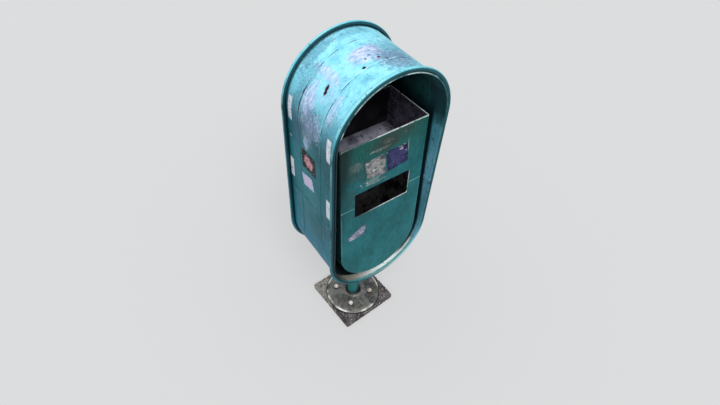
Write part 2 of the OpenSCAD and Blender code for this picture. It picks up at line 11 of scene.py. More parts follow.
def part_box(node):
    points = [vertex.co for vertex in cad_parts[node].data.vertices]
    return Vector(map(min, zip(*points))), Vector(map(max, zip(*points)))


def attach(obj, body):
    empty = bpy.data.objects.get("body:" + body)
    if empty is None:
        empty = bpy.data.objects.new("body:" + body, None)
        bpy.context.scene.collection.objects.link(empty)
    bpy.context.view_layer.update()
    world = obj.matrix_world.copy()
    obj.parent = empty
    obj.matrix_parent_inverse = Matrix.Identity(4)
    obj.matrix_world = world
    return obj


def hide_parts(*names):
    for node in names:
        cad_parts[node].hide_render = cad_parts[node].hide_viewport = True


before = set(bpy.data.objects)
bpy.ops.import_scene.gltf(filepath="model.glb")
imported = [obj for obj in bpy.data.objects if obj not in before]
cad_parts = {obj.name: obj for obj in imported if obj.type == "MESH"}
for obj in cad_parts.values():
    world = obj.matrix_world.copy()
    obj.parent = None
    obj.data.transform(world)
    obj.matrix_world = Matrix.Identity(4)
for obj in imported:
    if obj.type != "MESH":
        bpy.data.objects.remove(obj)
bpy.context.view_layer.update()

# ---- Paving slab ----
# A square slab of dark pressed aggregate that the whole bin stands on. Its arrises are
# chipped, its face is pitted, and one corner has weathered to a sandy beige.


def four_sided(count_u, count_v, wrap_u, wrap_v):
    """Faces of a grid of points: each joins a point to its neighbours one step along u and v,
    and a wrapped direction joins its last row to its first."""
    u = np.arange(count_u if wrap_u else count_u - 1)[:, None]
    v = np.arange(count_v if wrap_v else count_v - 1)[None, :]
    next_u, next_v = (u + 1) % count_u, (v + 1) % count_v
    corners = [u*count_v + v, next_u*count_v + v, next_u*count_v + next_v, u*count_v + next_v]
    return np.stack(corners, -1)


def patch(points, wrap=(False, False), finish=0, sheet=None):
    """One grid of points for make_piece. finish is a material's number, or one for each face.
    sheet holds coordinates that follow the surface, and is the place itself where it isn't given."""
    faces = four_sided(points.shape[0], points.shape[1], *wrap)
    return {
        "points": points.reshape(-1, 3),
        "faces": faces.reshape(-1, 4),
        "finish": np.broadcast_to(finish, faces.shape[:2]).reshape(-1),
        "sheet": (points if sheet is None else sheet).reshape(-1, 3),
    }


def make_piece(name, patches, finishes, crisp=40):
    """Mesh object from patches: their points are joined where they meet, their faces turned
    outwards, and edges that bend more than crisp degrees are kept sharp."""
    first = np.cumsum([0] + [len(p["points"]) for p in patches])
    mesh = bpy.data.meshes.new(name)
    faces = np.concatenate([p["faces"] + start for p, start in zip(patches, first)])
    mesh.from_pydata(np.concatenate([p["points"] for p in patches]).tolist(), [], faces.tolist())
    mesh.polygons.foreach_set(
        "material_index", np.concatenate([p["finish"] for p in patches]).astype(np.int32)
    )
    follow = mesh.attributes.new("sheet", "FLOAT_VECTOR", "POINT")
    follow.data.foreach_set(
        "vector", np.concatenate([p["sheet"] for p in patches]).astype(np.float32).ravel()
    )
    work = bmesh.new()
    work.from_mesh(mesh)
    bmesh.ops.remove_doubles(work, verts=work.verts, dist=2e-6)
    bmesh.ops.dissolve_degenerate(work, edges=work.edges, dist=1e-7)
    bmesh.ops.recalc_face_normals(work, faces=work.faces)
    work.to_mesh(mesh)
    work.free()
    mesh.polygons.foreach_set("use_smooth", np.ones(len(mesh.polygons), bool))
    mesh.set_sharp_from_angle(angle=math.radians(crisp))
    for finish in finishes:
        mesh.materials.append(finish)
    made = bpy.data.objects.new(name, mesh)
    bpy.context.scene.collection.objects.link(made)
    return made


def ripple(a, b, size, seed):
    """Smooth unevenness between about -1 and 1: a sum of eight sine waves across the plane of
    a and b, with lengths about size and directions and phases drawn from the seed."""
    draw = np.random.default_rng(seed)
    total = 0
    for _ in range(8):
        heading, phase = draw.uniform(0, 2*math.pi, 2)
        step = 2*math.pi/(size*draw.uniform(0.6, 1.8))
        total = total + np.sin(step*(a*math.cos(heading) + b*math.sin(heading)) + phase)
    return total/4


def ease(value, low, high):
    """Rises smoothly from 0 at low to 1 at high."""
    t = np.clip((value - low)/(high - low), 0, 1)
    return t*t*(3 - 2*t)


def shade(red, green, blue):
    """A colour named as it looks on a screen, 0 to 255 each, as the linear light a shader takes."""
    return tuple((np.array([red, green, blue])/255)**2.2) + (1.0,)


class Finish:
    """A material, with the few moves in nodes that every finish here is made from."""

    def __init__(self, name, roughness=0.5, metallic=0.0, specular=0.5):
        self.material = bpy.data.materials.new(name)
        self.material.use_nodes = True
        self.tree = self.material.node_tree
        self.shader = self.tree.nodes["Principled BSDF"]
        self.shader.inputs["Roughness"].default_value = roughness
        self.shader.inputs["Metallic"].default_value = metallic
        self.shader.inputs["Specular IOR Level"].default_value = specular
        self.place = self.node("ShaderNodeTexCoord").outputs["Object"]
        self.sheet = self.node("ShaderNodeAttribute", attribute_name="sheet").outputs["Vector"]

    def node(self, kind, inputs=None, **settings):
        """Adds a node, and sets or links each of its inputs that is given."""
        made = self.tree.nodes.new(kind)
        for key, value in settings.items():
            setattr(made, key, value)
        for key, value in (inputs or {}).items():
            self.join(made.inputs[key], value)
        return made

    def join(self, socket, value):
        """Links a node's output to a socket, or sets the socket to a plain value."""
        if isinstance(value, bpy.types.NodeSocket):
            self.tree.links.new(value, socket)
        else:
            socket.default_value = value

    def calc(self, operation, a, b=0.0):
        """One sum of a Math node."""
        return self.node("ShaderNodeMath", {0: a, 1: b}, operation=operation).outputs[0]

    def cloud(self, size, detail=5.0, stretch=(1, 1, 1), seed=0.0, roughness=0.55, source=None):
        """Cloudy pattern, about 0 to 1 around 0.5, with features of about size metres."""
        scale, shift = [1/(size*k) for k in stretch], (seed, 2*seed, 3*seed)
        move = {"Vector": source or self.place, "Location": shift, "Scale": scale}
        moved = self.node("ShaderNodeMapping", move).outputs[0]
        inputs = {"Vector": moved, "Scale": 1.0, "Detail": detail, "Roughness": roughness}
        return self.node("ShaderNodeTexNoise", inputs).outputs[0]

    def rise(self, value, low, high):
        """Goes smoothly from 0 where value is low to 1 where it is high."""
        limits = {0: value, 1: low, 2: high, 3: 0.0, 4: 1.0}
        return self.node("ShaderNodeMapRange", limits, interpolation_type="SMOOTHSTEP").outputs[0]

    def wander(self, value, by, size, detail=5.0, **cloud):
        """The value plus a cloud times by, which makes a straight limit run unevenly."""
        return self.calc("ADD", value, self.calc("MULTIPLY", self.cloud(size, detail, **cloud), by))

    def blotches(self, low, high, size, detail=5.0, **cloud):
        """Blotchy mask, 0 where a cloud is below low and 1 where it is above high."""
        return self.rise(self.cloud(size, detail, **cloud), low, high)

    def axis(self, letter, source=None):
        """One coordinate of the place, or of another vector."""
        split = self.node("ShaderNodeSeparateXYZ", {0: self.place if source is None else source})
        return split.outputs["XYZ".index(letter)]

    def spot(self, centre, reach, ragged=0.5, soft=0.25, size=0.02, source=None, seed=3.0):
        """1 inside an oval about centre whose half-sizes are reach, with a torn edge: the oval's
        own distance, plus a cloud, is compared with 1."""
        away = source or self.place
        for operation, other in (("SUBTRACT", centre), ("DIVIDE", reach)):
            away = self.node("ShaderNodeVectorMath", {0: away, 1: other}, operation=operation).outputs[0]
        away = self.node("ShaderNodeVectorMath", {0: away}, operation="LENGTH").outputs["Value"]
        torn = self.calc("MULTIPLY", self.calc("SUBTRACT", self.cloud(size, 6.0, seed=seed), 0.5), 4*ragged)
        return self.rise(self.calc("ADD", away, torn), 1 + soft, 1 - soft)

    def off_axis(self):
        """Distance from the upright axis through the post."""
        level = {0: self.place, 1: (1, 1, 0)}
        flat = self.node("ShaderNodeVectorMath", level, operation="MULTIPLY").outputs[0]
        return self.node("ShaderNodeVectorMath", {0: flat}, operation="LENGTH").outputs["Value"]

    def both(self, *masks):
        """Masks multiplied together."""
        total = masks[0]
        for mask in masks[1:]:
            total = self.calc("MULTIPLY", total, mask)
        return total

    def tint(self, below, above, mask, strength=1.0):
        """Colour below, covered by colour above where mask is 1, as far as the strength says."""
        if strength != 1.0:
            mask = self.calc("MULTIPLY", mask, strength)
        made = self.node("ShaderNodeMix", data_type="RGBA")
        for socket, value in zip((made.inputs[0], made.inputs[6], made.inputs[7]), (mask, below, above)):
            self.join(socket, value)
        return made.outputs[2]

    def uneven(self, height, strength, reach=0.001):
        """Bump from a height pattern."""
        inputs = {"Height": height, "Strength": strength, "Distance": reach}
        self.join(self.shader.inputs["Normal"], self.node("ShaderNodeBump", inputs).outputs[0])

    def done(self, colour, roughness=None):
        """Puts the colour, and a roughness that varies, on the shader, and gives the material."""
        self.join(self.shader.inputs["Base Color"], colour)
        if roughness is not None:
            self.join(self.shader.inputs["Roughness"], roughness)
        return self.material


def square_reach(turn, half, roundness):
    """Distance from the middle of a square to its edge in the direction turn: the p-norm of the
    direction's cosine and sine, so that a high roundness number gives a tighter corner."""
    norm = (np.abs(np.cos(turn))**roundness + np.abs(np.sin(turn))**roundness)**(1/roundness)
    return half/norm


slab_turn = math.radians(3.5)


def slab_mesh():
    """The slab as a cushion of rings about its middle: the rings step out over the face, down
    the side and back in underneath, and waves chip the edge and pit the face."""
    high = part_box("base_slab")[1]
    cosine, sine = math.cos(slab_turn), math.sin(slab_turn)
    half = high.x/(cosine + sine)
    face_rings, under_rings = 70, 8
    turns = np.linspace(0, 2*math.pi, 560, endpoint=False)[:, None]
    face, under = np.linspace(0, 1, face_rings), np.linspace(0.9, 0, under_rings)
    out = np.concatenate([face, [1.004, 1.0, 0.99], under])[None, :]
    side = [-0.006, -high.z + 0.002, -high.z]
    level = np.concatenate([np.zeros(face_rings), side, np.full(under_rings, -high.z)])[None, :]
    reach = square_reach(turns, half, 40)
    x, y = out*reach*np.cos(turns), out*reach*np.sin(turns)
    near_edge = ease(out, 0.93, 1.0)
    pits = 0.0005*ripple(x, y, 0.018, 4) + 0.0004*ripple(x, y, 0.006, 5)
    chips = near_edge*(0.0018*np.abs(ripple(x, y, 0.02, 6)) + 0.0012*np.abs(ripple(x, y, 0.007, 7)))
    top = level > -0.001
    z = high.z - 0.0006 + level + np.where(top, pits - 1.6*chips, 0)
    shrink = 1 - 0.004*near_edge - chips/half
    points = np.stack([shrink*(cosine*x - sine*y), shrink*(sine*x + cosine*y), np.maximum(z, 0)], -1)
    return [patch(points, (True, False))]


def slab_finish():
    f = Finish("paving_slab", roughness=0.85, specular=0.3)
    colour = f.tint(shade(54, 51, 52), shade(98, 94, 93), f.blotches(0.36, 0.64, 0.04, 8.0))
    grains = f.cloud(0.008, 4.0, seed=1.0, roughness=0.8)
    colour = f.tint(colour, shade(18, 17, 19), f.rise(grains, 0.5, 0.38))
    colour = f.tint(colour, shade(168, 162, 156), f.blotches(0.58, 0.68, 0.007, 3.0, seed=5.0))
    corner = f.spot((-0.12, 0.095, 0.02), (0.065, 0.1, 0.1), ragged=0.7, size=0.02)
    colour = f.tint(colour, shade(136, 132, 123), f.both(corner, f.rise(grains, 0.36, 0.56)))
    # Painted shadow: a dark ring on the slab just outside the flange's edge.
    out = f.wander(f.off_axis(), 0.006, 0.012, 4.0, seed=8.0)
    colour = f.tint(colour, shade(14, 13, 13), f.rise(out, 0.146, 0.141), 0.9)
    f.uneven(grains, 0.6, 0.0008)
    return f.done(colour)


slab = make_piece("paving_slab", slab_mesh(), [slab_finish()], crisp=50)
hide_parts("base_slab")
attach(slab, "stand")

# ---- Flange ----
# A round cast-iron flange that was painted once and is now mostly mottled iron. Its edge is
# bevelled and rubbed bright, and a fillet of weld runs round the foot of the post, darkened
# there in a ring of dark weld and painted shade.


bolt_circle = 0.0875


def turned(outline, count=240, uneven=0.0, seed=1):
    """Surface of revolution about the z axis: the outline's (radius, height) pairs carried round
    a circle, with slow waves of height as on a sand casting."""
    turns = np.linspace(0, 2*math.pi, count, endpoint=False)[:, None]
    radius, height = (np.array(column)[None, :] for column in zip(*outline))
    x, y = radius*np.cos(turns), radius*np.sin(turns)
    wave = uneven*ripple(x, y, 0.03, seed)*ease(radius, 0.034, 0.05)
    return np.stack([x, y, height + wave], -1)


def flange_mesh():
    """Outline from the socket out over the weld, the hub, the flat and the bevel, down to the
    slab and back to the post."""
    low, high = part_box("base_flange")
    rim, bottom, top = high.x, low.z, high.z
    flat, post_r = top - 0.006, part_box("post")[1].x
    weld_r = 0.0055
    weld = [
        (post_r + 0.0002 + weld_r*(1 - math.cos(a)), top + weld_r*math.cos(a) - 0.0002)
        for a in np.linspace(0, math.pi/2, 7)
    ]
    hub = [(0.0405, top - 0.0004), (0.0432, top - 0.0035), (0.0475, flat + 0.0004), (0.052, flat)]
    face = [(r, flat) for r in np.linspace(0.056, 0.112, 22)]
    bevel_r, bevel_drop = 0.112, 0.006
    bevel = [
        (r, flat - bevel_drop*((r - bevel_r)/(rim - bevel_r))**1.3)
        for r in np.linspace(bevel_r + 0.001, rim - 0.0015, 12)
    ]
    edge = [(rim - 0.0003, bottom + 0.0022), (rim, bottom + 0.0012), (rim - 0.0004, bottom)]
    under = [(0.1, bottom), (0.05, bottom), (post_r + 0.0002, bottom)]
    return [patch(turned(weld + hub + face + bevel + edge + under, 300, 0.00035, 9), (True, True))]


def iron_finish():
    f = Finish("flange_iron", roughness=0.45, metallic=0.35, specular=0.5)
    colour = f.tint(shade(60, 61, 61), shade(112, 111, 108), f.blotches(0.36, 0.58, 0.05, 8.0, seed=2.0))
    colour = f.tint(colour, shade(88, 92, 72), f.blotches(0.52, 0.68, 0.05, 6.0, seed=6.0), 0.6)
    colour = f.tint(colour, shade(80, 66, 60), f.blotches(0.52, 0.66, 0.04, 7.0, seed=9.0), 0.7)
    colour = f.tint(colour, shade(34, 33, 33), f.blotches(0.54, 0.68, 0.012, 7.0, seed=3.0), 0.5)
    colour = f.tint(colour, shade(160, 160, 156), f.blotches(0.62, 0.7, 0.006, 5.0, seed=13.0))
    colour = f.tint(colour, shade(34, 84, 86), f.blotches(0.64, 0.7, 0.02, 5.0, seed=8.0))
    out = f.off_axis()
    rubbed = f.both(f.rise(out, 0.124, 0.133), f.blotches(0.46, 0.62, 0.07, 4.0, seed=4.0))
    colour = f.tint(colour, shade(214, 216, 208), rubbed)
    # Dark weld and painted shade in a ring round the post's foot.
    foot_weld_and_shade = f.rise(f.wander(out, 0.01, 0.01, 4.0), 0.049, 0.041)
    colour = f.tint(colour, shade(14, 17, 17), foot_weld_and_shade)
    # Darker blotches in a band along the bolt circle.
    bolt_ring = f.calc("ABSOLUTE", f.calc("SUBTRACT", out, bolt_circle))
    darker_bolt_band = f.both(f.rise(bolt_ring, 0.024, 0.01), f.blotches(0.5, 0.64, 0.03, 5.0, seed=17.0))
    colour = f.tint(colour, shade(50, 48, 48), darker_bolt_band, 0.4)
    f.uneven(f.cloud(0.003, 6.0, seed=7.0), 0.5, 0.0006)
    return f.done(colour, f.wander(0.18, 0.5, 0.02, 5.0))


flange = make_piece("cast_flange", flange_mesh(), [iron_finish()], crisp=50)
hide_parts("base_flange")
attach(flange, "stand")

# ---- Anchor nuts and washers ----
# Domed cap nuts of zinc-plated steel on flat washers. They are cold-forged, with a chamfer
# where the flats meet the dome, and have weathered to a pale pinkish grey. The hexagon's flats
# and the washers are painted near black, as painted shade round each nut.


def zinc_finish(name, light, dark, roughness=0.42, metallic=0.6, grain=0.004):
    """Plated steel: dull patches, finer specks of white rust, and a fine rolled surface."""
    f = Finish(name, roughness=roughness, metallic=metallic)
    colour = f.tint(light, dark, f.blotches(0.45, 0.7, 8*grain, 6.0, seed=2.0))
    colour = f.tint(colour, shade(214, 210, 204), f.blotches(0.58, 0.68, grain, 4.0, seed=6.0))
    colour = f.tint(colour, shade(96, 62, 44), f.blotches(0.66, 0.76, 3*grain, 6.0, seed=11.0))
    f.uneven(f.cloud(0.4*grain, 4.0), 0.25, 0.0003)
    return f.done(colour, f.wander(roughness - 0.12, 0.3, 2*grain, 4.0))


def cap_nut(across, hex_h, low_z):
    """A cap nut about the z axis: each height has a round radius, and the hexagon's own reach
    limits it, so that the chamfers come out as the curves that turning leaves. Above the
    hexagon the round radius is that of the dome."""
    turns = np.linspace(0, 2*math.pi, 96, endpoint=False)[:, None]
    sector = (turns + math.pi/6) % (math.pi/3) - math.pi/6
    flats = across/2/np.cos(sector)
    corner, dome = across/2/math.cos(math.pi/6), 0.46*across
    skirt = [(0.0, 0.0), (across/2 - 0.0006, 0.0), (across/2 + 0.0004, 0.0005), (corner, 0.0016)]
    shoulder = [(corner, hex_h - 0.0016), (across/2 + 0.0004, hex_h - 0.0003), (dome + 0.0002, hex_h)]
    lift = [(dome, hex_h + 0.0008)]
    cap = [
        (dome*math.cos(a), hex_h + 0.0008 + 0.96*dome*math.sin(a))
        for a in np.linspace(0.08, math.pi/2, 14)
    ]
    radius, height = (np.array(column)[None, :] for column in zip(*(skirt + shoulder + lift + cap)))
    reach = np.where(height <= hex_h, np.minimum(radius, flats), radius)
    return np.stack([reach*np.cos(turns), reach*np.sin(turns), low_z + height + 0*turns], -1)


def nut_patches():
    """One cap nut at each anchor, each turned by its own amount. The hexagon below the chamfer
    takes the second finish."""
    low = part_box("anchor_nuts")[0]
    first_turn, across, hex_h = slab_turn + math.pi/4, 0.024, 0.008
    made = []
    for number in range(4):
        place = first_turn + number*math.pi/2
        spin = 0.7*number + 0.3
        nut = cap_nut(across, hex_h, low.z)
        x = nut[..., 0]*math.cos(spin) - nut[..., 1]*math.sin(spin) + bolt_circle*math.cos(place)
        y = nut[..., 0]*math.sin(spin) + nut[..., 1]*math.cos(spin) + bolt_circle*math.sin(place)
        finish = (nut[:, :-1, 2] < low.z + hex_h - 0.001).astype(int)
        made.append(patch(np.stack([x, y, nut[..., 2]], -1), (True, False), finish))
    return made


nut_zinc = zinc_finish("nut_zinc", shade(206, 194, 188), shade(150, 138, 134), metallic=0.25)
# The hexagon's flats take a darker copy of the nuts' zinc, as painted shade.
shaded_nut_zinc = zinc_finish("shaded_nut_zinc", shade(74, 68, 66), shade(38, 34, 34), metallic=0.3)
nuts = make_piece("cap_nuts", nut_patches(), [nut_zinc, shaded_nut_zinc], crisp=30)
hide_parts("anchor_nuts")
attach(nuts, "stand")


def dress(finish, *nodes):
    """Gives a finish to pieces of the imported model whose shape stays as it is."""
    for name in nodes:
        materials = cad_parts[name].data.materials
        materials.clear()
        materials.append(finish)


# Washers and bolts painted near black, as a painted shadow ring round each nut.
washer_zinc = zinc_finish("washer_zinc", shade(52, 48, 48), shade(26, 24, 24), metallic=0.3)
dress(washer_zinc, "anchor_bolts", "anchor_washers")

# ---- Post and saddle ----
# A steel tube with a curved saddle plate and four gussets welded on top, all painted the
# bin's green. Painted shade darkens the foot, and the paint is chipped at the edges.


def post_finish():
    f = Finish("post_paint", roughness=0.45)
    colour = f.tint(
        shade(30, 108, 106), shade(24, 82, 90), f.blotches(0.4, 0.62, 0.05, 5.0, stretch=(1, 1, 3))
    )
    chips = f.blotches(0.63, 0.69, 0.008, 6.0, seed=5.0)
    colour = f.tint(colour, shade(52, 44, 42), chips)
    # Painted shade: darker up to a few centimetres above the flange.
    height = f.wander(f.axis("Z"), 0.02, 0.012, 5.0)
    colour = f.tint(colour, shade(34, 34, 34), f.rise(height, 0.066, 0.044))
    f.uneven(f.cloud(0.004, 5.0), 0.25, 0.0005)
    return f.done(colour, f.wander(0.3, 0.3, 0.03, 4.0))


dress(post_finish(), "post", "saddle_plate", "saddle_gussets")
saddle_zinc = zinc_finish("saddle_zinc", shade(150, 150, 150), shade(104, 100, 98))
dress(saddle_zinc, "saddle_bolts", "saddle_washers", "saddle_nuts")

# ---- Casing wraps ----
# Two sheets of 2 mm steel rolled round the bin: the upper one makes the hood, and the lower
# one laps behind it. Two shallow grooves are pressed right round to stiffen them. The paint
# has bleached to pale cyan on top, partly a painted top light, is scraped to a lilac primer,
# and stays teal lower down.

upper_low, upper_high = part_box("upper_wrap")
casing_r, casing_half, seam_z = upper_high.x, upper_high.y, upper_low.z
crown_z = upper_high.z - casing_r
trough_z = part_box("lower_wrap")[0].z + casing_r
quarter, straight = math.pi/2*casing_r, crown_z - trough_z
girth = 4*quarter + 2*straight
seam_s = quarter + crown_z - seam_z
sheet_t = 0.002
groove_y = 0.068


def casing_line(s):
    """The casing's outline by the distance s round it from the crown, positive to the right:
    a quarter of a circle, a straight side, and a quarter of a circle about the trough's axis.
    Gives x, z and the outward direction."""
    s = (s + girth/2) % girth - girth/2
    side, far = np.where(s < 0, -1.0, 1.0), np.abs(s)
    on_side = np.clip(far - quarter, 0, straight)
    turn = (far - on_side)/casing_r
    out_x, out_z = side*np.sin(turn), np.cos(turn)
    return out_x*casing_r, crown_z - on_side + out_z*casing_r, out_x, out_z


def dents(s, y):
    """How far the sheet stands off its true line: slow waves from rolling, and a few knocks.
    They die out at the rims, where the sheet is welded."""
    lift = 0.0007*ripple(s, y, 0.26, 21) + 0.00035*ripple(s, y, 0.09, 22)
    knocks = [
        (-0.192, -0.014, 0.022, 0.0030), (-0.065, -0.058, 0.016, 0.0022), (0.03, -0.07, 0.035, 0.0025),
        (-0.55, 0.02, 0.03, 0.0022), (-0.42, -0.1, 0.02, 0.0018), (0.52, -0.03, 0.04, 0.003),
        (0.3, 0.05, 0.03, 0.0022), (-0.86, 0.03, 0.03, 0.002), (0.75, 0.04, 0.025, 0.002),
    ]
    for at_s, at_y, size, depth in knocks:
        lift = lift - depth*np.exp(-((s - at_s)**2 + (y - at_y)**2)/size**2)
    return lift*ease(casing_half - np.abs(y), 0.008, 0.05)


def on_casing(s, y, lift=0.0):
    """Points on the casing's outer face, raised by lift: the outline carried along y, pushed
    along its outward direction by the dents and the two pressed grooves."""
    x, z, out_x, out_z = casing_line(s)
    groove = 0.0015*np.exp(-((np.abs(y) - groove_y)/0.0019)**2)
    push = dents(s, y) - groove + lift
    return np.stack([x + out_x*push, y + 0*x, z + out_z*push], -1)


def plate(outer, inner, sheet=None, finish=(0, 0, 0), wrap_u=False, pole=False, end_finish=None):
    """Patches of a sheet of metal: its outer grid, its inner grid, and the strips that join
    their borders. wrap_u closes it round u, and pole says that its first v row is one point.
    The strips across the ends of u take end_finish."""
    out_finish, in_finish, edge_finish = finish
    end_finish = edge_finish if end_finish is None else end_finish
    made = [
        patch(outer, (wrap_u, False), out_finish, sheet),
        patch(inner, (wrap_u, False), in_finish, sheet),
    ]
    for row in ([-1] if pole else [0, -1]):
        rim_sheet = None if sheet is None else np.stack([sheet[:, row], sheet[:, row]])
        made.append(patch(np.stack([outer[:, row], inner[:, row]]), (False, wrap_u), edge_finish, rim_sheet))
    for row in ([] if wrap_u else [0, -1]):
        rim_sheet = None if sheet is None else np.stack([sheet[row], sheet[row]])
        made.append(patch(np.stack([outer[row], inner[row]]), (False, False), end_finish, rim_sheet))
    return made


def casing_sheet(s, lift=0.0):
    """Patches of one wrap: rows along s and, across it, close steps at the grooves and rims. The
    front edge is folded back inside, which doubles the sheet there."""
    even = np.linspace(-casing_half, casing_half, 45)
    fine = np.concatenate([side*(groove_y + np.linspace(-0.006, 0.006, 13)) for side in (-1, 1)])
    hem = -casing_half + np.array([0.001, 0.0085, 0.0095, 0.011])
    y = np.unique(np.round(np.concatenate([even, fine, hem]), 5))[None, :]
    s = s[:, None] + 0*y
    y = y + 0*s
    lift = lift if np.isscalar(lift) else lift[:, None]
    wall = sheet_t*(1 + ease(-casing_half + 0.0115 - y, 0.0, 0.0025))
    sheet = np.stack([s, y, 0*s], -1)
    return plate(on_casing(s, y, lift), on_casing(s, y, lift - wall), sheet, (0, 1, 2), end_finish=1)


def weathered(name, deep, bright, bleach_low, bleach_high, bleached_and_lit, streak=1.0):
    """Old enamel: two close tones in clouds and run-down streaks, paler above a height, as
    bleaching and partly a painted top light, with fine mottling. Returns the finish and its
    colour, for marks to be laid on."""
    f = Finish(name, specular=0.13)
    colour = f.tint(deep, bright, f.blotches(0.32, 0.68, 0.13, 6.0, stretch=(1, 1, 2), seed=1.0))
    runs = f.blotches(0.5, 0.8, 0.02, 4.0, stretch=(1, 1, 9), seed=4.0)
    colour = f.tint(colour, deep, runs, 0.6*streak)
    # Paler above a height: bleached paint, and partly a painted top light.
    level = f.wander(f.axis("Z"), 0.08, 0.09, 6.0, seed=7.0)
    colour = f.tint(colour, bleached_and_lit, f.rise(level, bleach_low + 0.04, bleach_high + 0.04))
    dull = f.blotches(0.48, 0.7, 0.045, 8.0, seed=9.0, roughness=0.7)
    return f, f.tint(colour, deep, dull, 0.34)


def scraped(f, colour, marks, tone, source, ragged=0.55):
    """Lays worn spots of one tone on a finish: (s, y, half-sizes, strength, grain) each."""
    for number, (a, b, half_a, half_b, strength, grain) in enumerate(marks):
        where = f.spot((a, b, 0), (half_a, half_b, 9), ragged, 0.3, grain, source, seed=2.0 + number)
        slack = 0.55 - ragged
        rubbed = f.blotches(0.34 - slack, 0.6 - slack, 0.4*grain, 6.0, seed=20.0 + number, roughness=0.75)
        colour = f.tint(colour, tone, f.both(where, rubbed), strength)
    return colour


def bleached_and_lit_top(f, colour):
    """Chalky, brushed and blue patches on top, the chalk and the lighter brushing partly a painted
    top light, bluer paint low down, and the lap's dark line with scratches below it."""
    # Chalky paint on top, partly a painted top light.
    chalk_and_top_light = f.both(
        f.rise(f.axis("Z"), 1.28, 1.42), f.blotches(0.36, 0.64, 0.04, 8.0, seed=19.0, roughness=0.6)
    )
    colour = f.tint(colour, shade(160, 232, 247), chalk_and_top_light, 0.75)
    brushed = f.cloud(0.0035, 5.0, stretch=(12, 1, 1), seed=33.0, roughness=0.7, source=f.sheet)
    colour = f.tint(
        colour, shade(90, 166, 190), f.both(f.rise(brushed, 0.56, 0.74), f.rise(f.axis("Z"), 1.16, 1.3))
    )
    # Lighter brushing on top, partly a painted top light.
    lighter = f.both(f.rise(brushed, 0.46, 0.34), f.rise(f.axis("Z"), 1.16, 1.3))
    colour = f.tint(colour, shade(168, 228, 240), lighter, 0.7)
    blue_low = f.rise(f.wander(f.axis("Z"), 0.2, 0.06, 5.0, seed=35.0), 0.92, 0.6)
    colour = f.tint(colour, shade(34, 112, 142), blue_low, 0.75)
    lap_line = f.rise(f.calc("ABSOLUTE", f.calc("SUBTRACT", f.axis("Z"), seam_z)), 0.0032, 0.0012)
    colour = f.tint(colour, shade(8, 34, 40), lap_line, 0.8)
    below = f.both(
        f.rise(f.axis("Z"), seam_z - 0.09, seam_z - 0.01), f.rise(f.axis("Z"), seam_z, seam_z - 0.003)
    )
    below = f.both(below, f.blotches(0.54, 0.66, 0.006, 6.0, stretch=(1, 7, 1), seed=37.0))
    colour = f.tint(colour, shade(96, 150, 176), below, 0.6)
    blue = f.both(
        f.rise(f.axis("Z"), 1.18, 1.26), f.blotches(0.5, 0.64, 0.028, 7.0, seed=23.0, roughness=0.7)
    )
    return f.tint(colour, shade(92, 168, 194), blue, 0.45)


def worn_through(f, colour):
    """Lilac primer showing, dirt, rust holes, specks and nicks. A mark is (s, y, half-size along
    s, half-size along y, strength, grain)."""
    lilac = [
        (-0.022, -0.008, 0.058, 0.04, 1.0, 0.014), (-0.03, 0.01, 0.03, 0.02, 0.9, 0.016),
        (0.045, -0.07, 0.055, 0.045, 0.6, 0.014),
        (-0.25, 0.035, 0.055, 0.028, 0.85, 0.02), (-0.3, 0.02, 0.07, 0.035, 0.55, 0.014),
        (-0.153, 0.02, 0.02, 0.06, 0.75, 0.014), (-0.23, -0.085, 0.06, 0.02, 0.6, 0.012),
        (-0.4, 0.02, 0.05, 0.03, 0.2, 0.01), (-0.33, -0.036, 0.05, 0.028, 0.6, 0.012),
        (0.2, -0.05, 0.08, 0.05, 0.3, 0.02), (-0.19, -0.03, 0.05, 0.03, 0.35, 0.012),
        (0.35, 0.06, 0.06, 0.04, 0.35, 0.02), (0.62, -0.06, 0.05, 0.03, 0.3, 0.012),
        (-0.43, 0.026, 0.03, 0.014, 0.6, 0.01), (-0.36, 0.0, 0.05, 0.02, 0.4, 0.01),
    ]
    primer = f.blotches(0.4, 0.6, 0.009, 8.0, stretch=(3, 1, 1), seed=45.0, roughness=0.7, source=f.sheet)
    primer = f.tint(shade(142, 166, 206), shade(210, 216, 242), primer)
    colour = scraped(f, colour, lilac, primer, f.sheet, ragged=0.5)
    dirt = [
        (0.06, -0.075, 0.075, 0.055, 0.75, 0.012), (-0.34, 0.0, 0.06, 0.05, 0.8, 0.008),
        (-0.13, 0.125, 0.09, 0.022, 0.7, 0.008), (-0.36, 0.085, 0.12, 0.03, 0.6, 0.01),
        (0.08, -0.02, 0.08, 0.06, 0.5, 0.012), (-0.2, 0.08, 0.06, 0.03, 0.5, 0.012),
        (-0.31, -0.11, 0.08, 0.03, 0.4, 0.01), (0.03, 0.12, 0.06, 0.02, 0.45, 0.012),
    ]
    colour = scraped(f, colour, dirt, shade(56, 86, 116), f.sheet)
    holes = [
        (-0.188, -0.012, 0.012, 0.006, 1.0, 0.008), (-0.203, -0.017, 0.008, 0.006, 1.0, 0.006),
        (-0.065, -0.058, 0.006, 0.006, 1.0, 0.006),
        (-0.04, -0.03, 0.004, 0.004, 0.8, 0.004), (0.0, -0.045, 0.006, 0.005, 0.8, 0.006),
        (-0.25, 0.068, 0.02, 0.0035, 0.9, 0.01), (-0.3, 0.069, 0.03, 0.003, 0.8, 0.01),
        (0.02, -0.06, 0.005, 0.004, 0.8, 0.006), (-0.02, -0.02, 0.006, 0.003, 0.7, 0.006),
    ]
    colour = scraped(f, colour, holes, shade(48, 20, 30), f.sheet, ragged=0.28)
    specks = f.both(f.blotches(0.6, 0.68, 0.005, 4.0, seed=31.0), f.blotches(0.46, 0.6, 0.06, 4.0, seed=8.0))
    colour = f.tint(colour, shade(34, 56, 76), specks, 0.85)
    nicks = f.blotches(0.64, 0.7, 0.006, 5.0, seed=41.0, roughness=0.6)
    nicks = f.both(nicks, f.blotches(0.42, 0.6, 0.05, 4.0, seed=43.0))
    return f.tint(colour, shade(206, 226, 238), nicks, 0.6)


